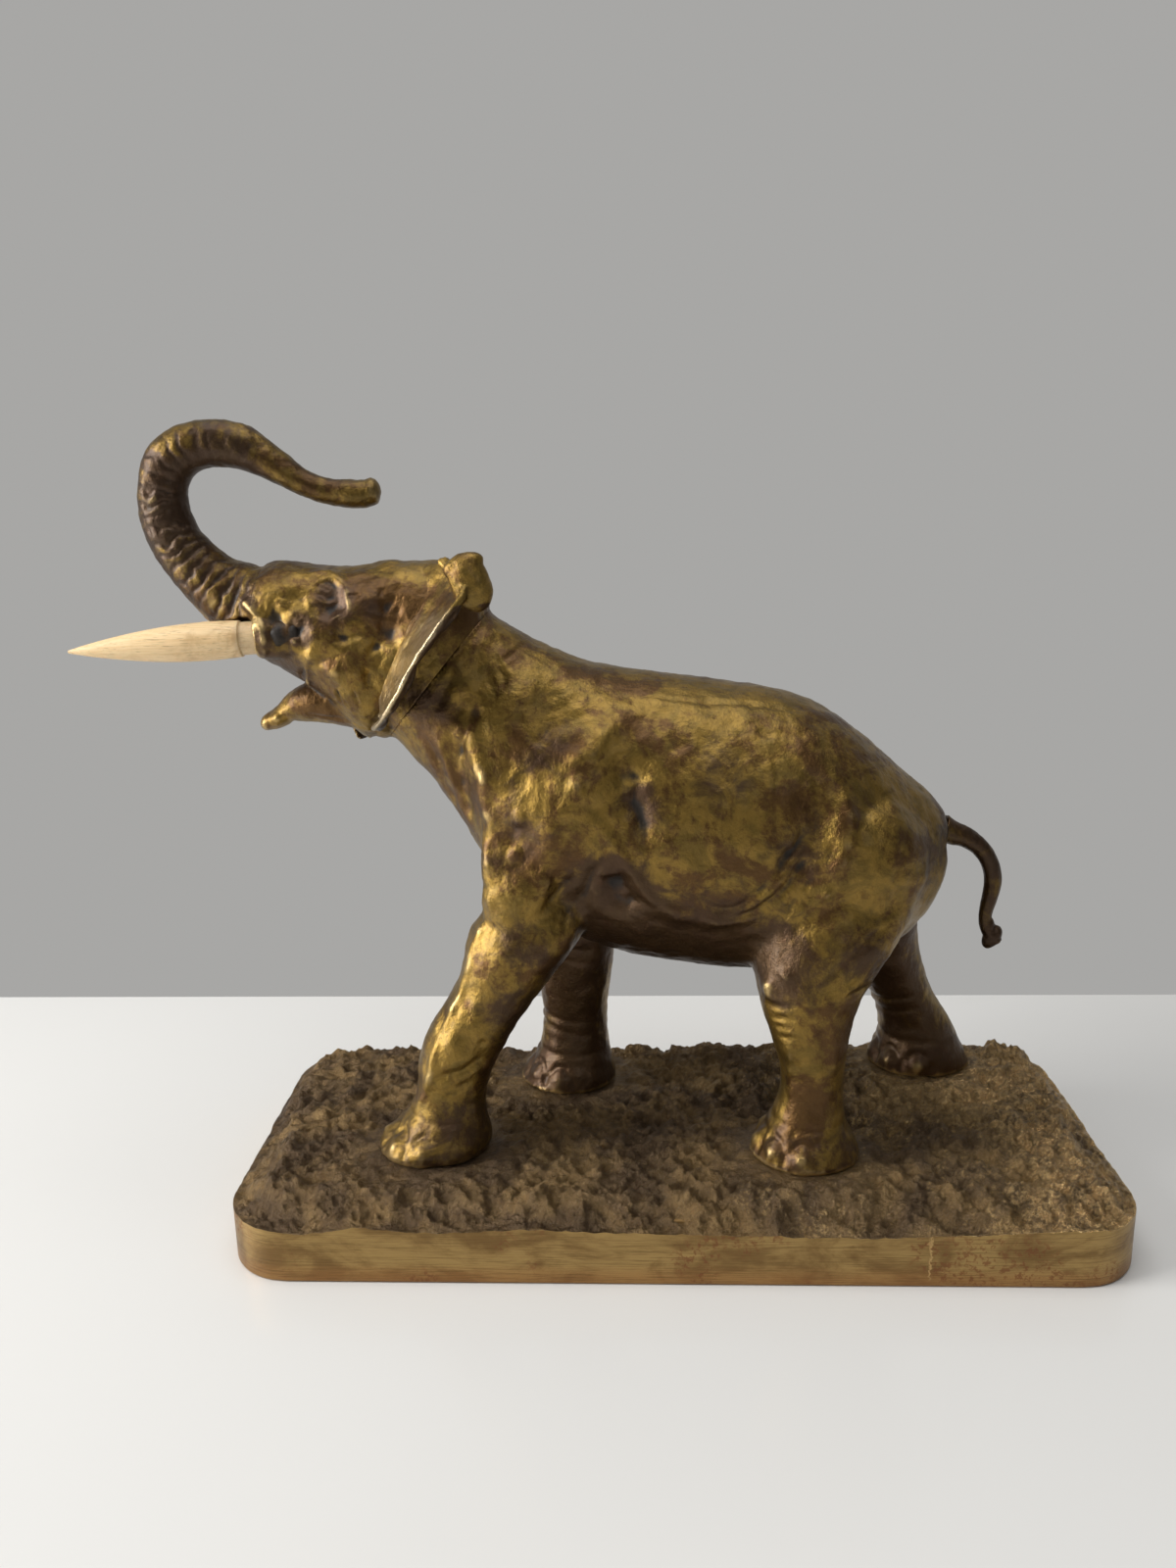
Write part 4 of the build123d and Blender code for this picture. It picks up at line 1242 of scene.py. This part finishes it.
def place_camera():
    """A phone's main camera, 0.3 m in front of the plate, a little above the animal's back."""
    camera = bpy.data.cameras.new("camera")
    camera.sensor_fit = "AUTO"
    camera.sensor_width = 36.0
    camera.lens = CAMERA_LENS
    camera.clip_start = 0.01
    holder = add_object("camera", camera)
    bpy.context.scene.camera = holder
    pitch, yaw, roll = (math.radians(angle) for angle in (CAMERA_PITCH, CAMERA_YAW, CAMERA_ROLL))
    forward = Vector((math.sin(yaw) * math.cos(pitch), math.cos(yaw) * math.cos(pitch), -math.sin(pitch)))
    right = Vector((math.cos(yaw), -math.sin(yaw), 0.0))
    up = right.cross(forward)
    turned_right = right * math.cos(roll) + up * math.sin(roll)
    turned_up = up * math.cos(roll) - right * math.sin(roll)
    turn = Matrix((turned_right, turned_up, -forward)).transposed().to_4x4()
    holder.matrix_world = Matrix.Translation(Vector(CAMERA_PLACE) * MM) @ turn


TABLE_BACK = 127.0
TABLE_REACH = 1500.0
ROOM_WALL = 0.39
ROOM_DARK = 0.10


def build_table():
    """A pale table top whose far edge runs behind the plate."""
    bm = bmesh.new()
    depth = TABLE_REACH + TABLE_BACK
    centre = Vector((0, (TABLE_BACK - TABLE_REACH) / 2, -15.0)) * MM
    size = Matrix.Diagonal((2 * TABLE_REACH * MM, depth * MM, 30 * MM, 1))
    bmesh.ops.create_cube(bm, size=1.0, matrix=Matrix.Translation(centre) @ size)
    bmesh.ops.bevel(
        bm, geom=bm.edges[:], offset=1.5 * MM, segments=3, profile=0.5, affect="EDGES", material=-1,
    )
    table = object_from(bm, "table_top")
    top = Finish("pale_table", Base_Color=colour(0.74, 0.735, 0.72), Roughness=0.22, Specular_IOR_Level=0.35)
    wear(table, top.material)


def add_light(name, place, aim, size, power, tint=(1, 1, 1)):
    lamp = bpy.data.lights.new(name, "AREA")
    lamp.shape = "RECTANGLE"
    lamp.size, lamp.size_y = size
    lamp.energy = power
    lamp.color = tint
    holder = add_object(name, lamp)
    holder.location = place
    holder.rotation_euler = (Vector(aim) - Vector(place)).to_track_quat("-Z", "Y").to_euler()


def light_studio():
    """A window to the left, a pale ceiling, and a room that is darker on the viewer's side."""
    world = bpy.data.worlds.new("room")
    world.use_nodes = True
    tree = world.node_tree
    backdrop = tree.nodes["Background"]
    backdrop.inputs["Color"].default_value = colour(1.0, 0.99, 0.965)
    ways = tree.nodes.new("ShaderNodeSeparateXYZ")
    tree.links.new(tree.nodes.new("ShaderNodeTexCoord").outputs["Generated"], ways.inputs[0])
    walls = tree.nodes.new("ShaderNodeMapRange")
    limits = {"From Min": -0.5, "From Max": 0.6, "To Min": ROOM_DARK, "To Max": ROOM_WALL}
    for socket, value in limits.items():
        walls.inputs[socket].default_value = value
    tree.links.new(ways.outputs["Y"], walls.inputs["Value"])
    seen = tree.nodes.new("ShaderNodeLightPath")
    strength = tree.nodes.new("ShaderNodeMix")
    strength.inputs["B"].default_value = ROOM_WALL
    tree.links.new(seen.outputs["Is Camera Ray"], strength.inputs["Factor"])
    tree.links.new(walls.outputs[0], strength.inputs["A"])
    tree.links.new(strength.outputs[0], backdrop.inputs["Strength"])
    bpy.context.scene.world = world
    bpy.context.scene.view_settings.view_transform = "Standard"
    aim = (0, 0, 0.09)
    add_light("window_left", (-0.98, -0.26, 0.42), aim, (0.45, 0.75), 13.5, (1.0, 0.985, 0.955))
    add_light("ceiling_soft", (-0.1, -0.2, 1.3), aim, (1.1, 1.1), 9.0)
    add_light("front_fill", (0.45, -1.1, 0.7), aim, (0.6, 0.45), 1.0)


def finish_cad_nodes(finishes):
    """Give the fixings and the tusks that stay as CAD their own finishes."""
    for name, node in NODES.items():
        if name.startswith("tusk"):
            finish = finishes["bone"]
        elif name.startswith("foot_"):
            finish = finishes["steel"]
        elif "pin" in name:
            finish = finishes["rod"]
        else:
            continue
        wear(node, finish)


def main():
    finishes = {
        "skin": make_skin_finish("patinated_brass"),
        "ear": make_skin_finish("patinated_brass_ear", EAR_HIGHLIGHT_PALE),
        "ground": make_ground_finish(),
        "rim": make_rim_finish(),
        "bone": make_bone_finish(),
        "rod": make_rod_finish(),
        "steel": make_steel_finish(),
    }
    pieces = build_animal(finishes)
    pieces += [build_ear(side, finishes["ear"]) for side in (LEFT, RIGHT)]
    pieces.append(build_ground_plate(finishes))
    for piece in pieces:
        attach(piece, "root")
    finish_cad_nodes(finishes)
    build_table()
    light_studio()
    place_camera()


main()
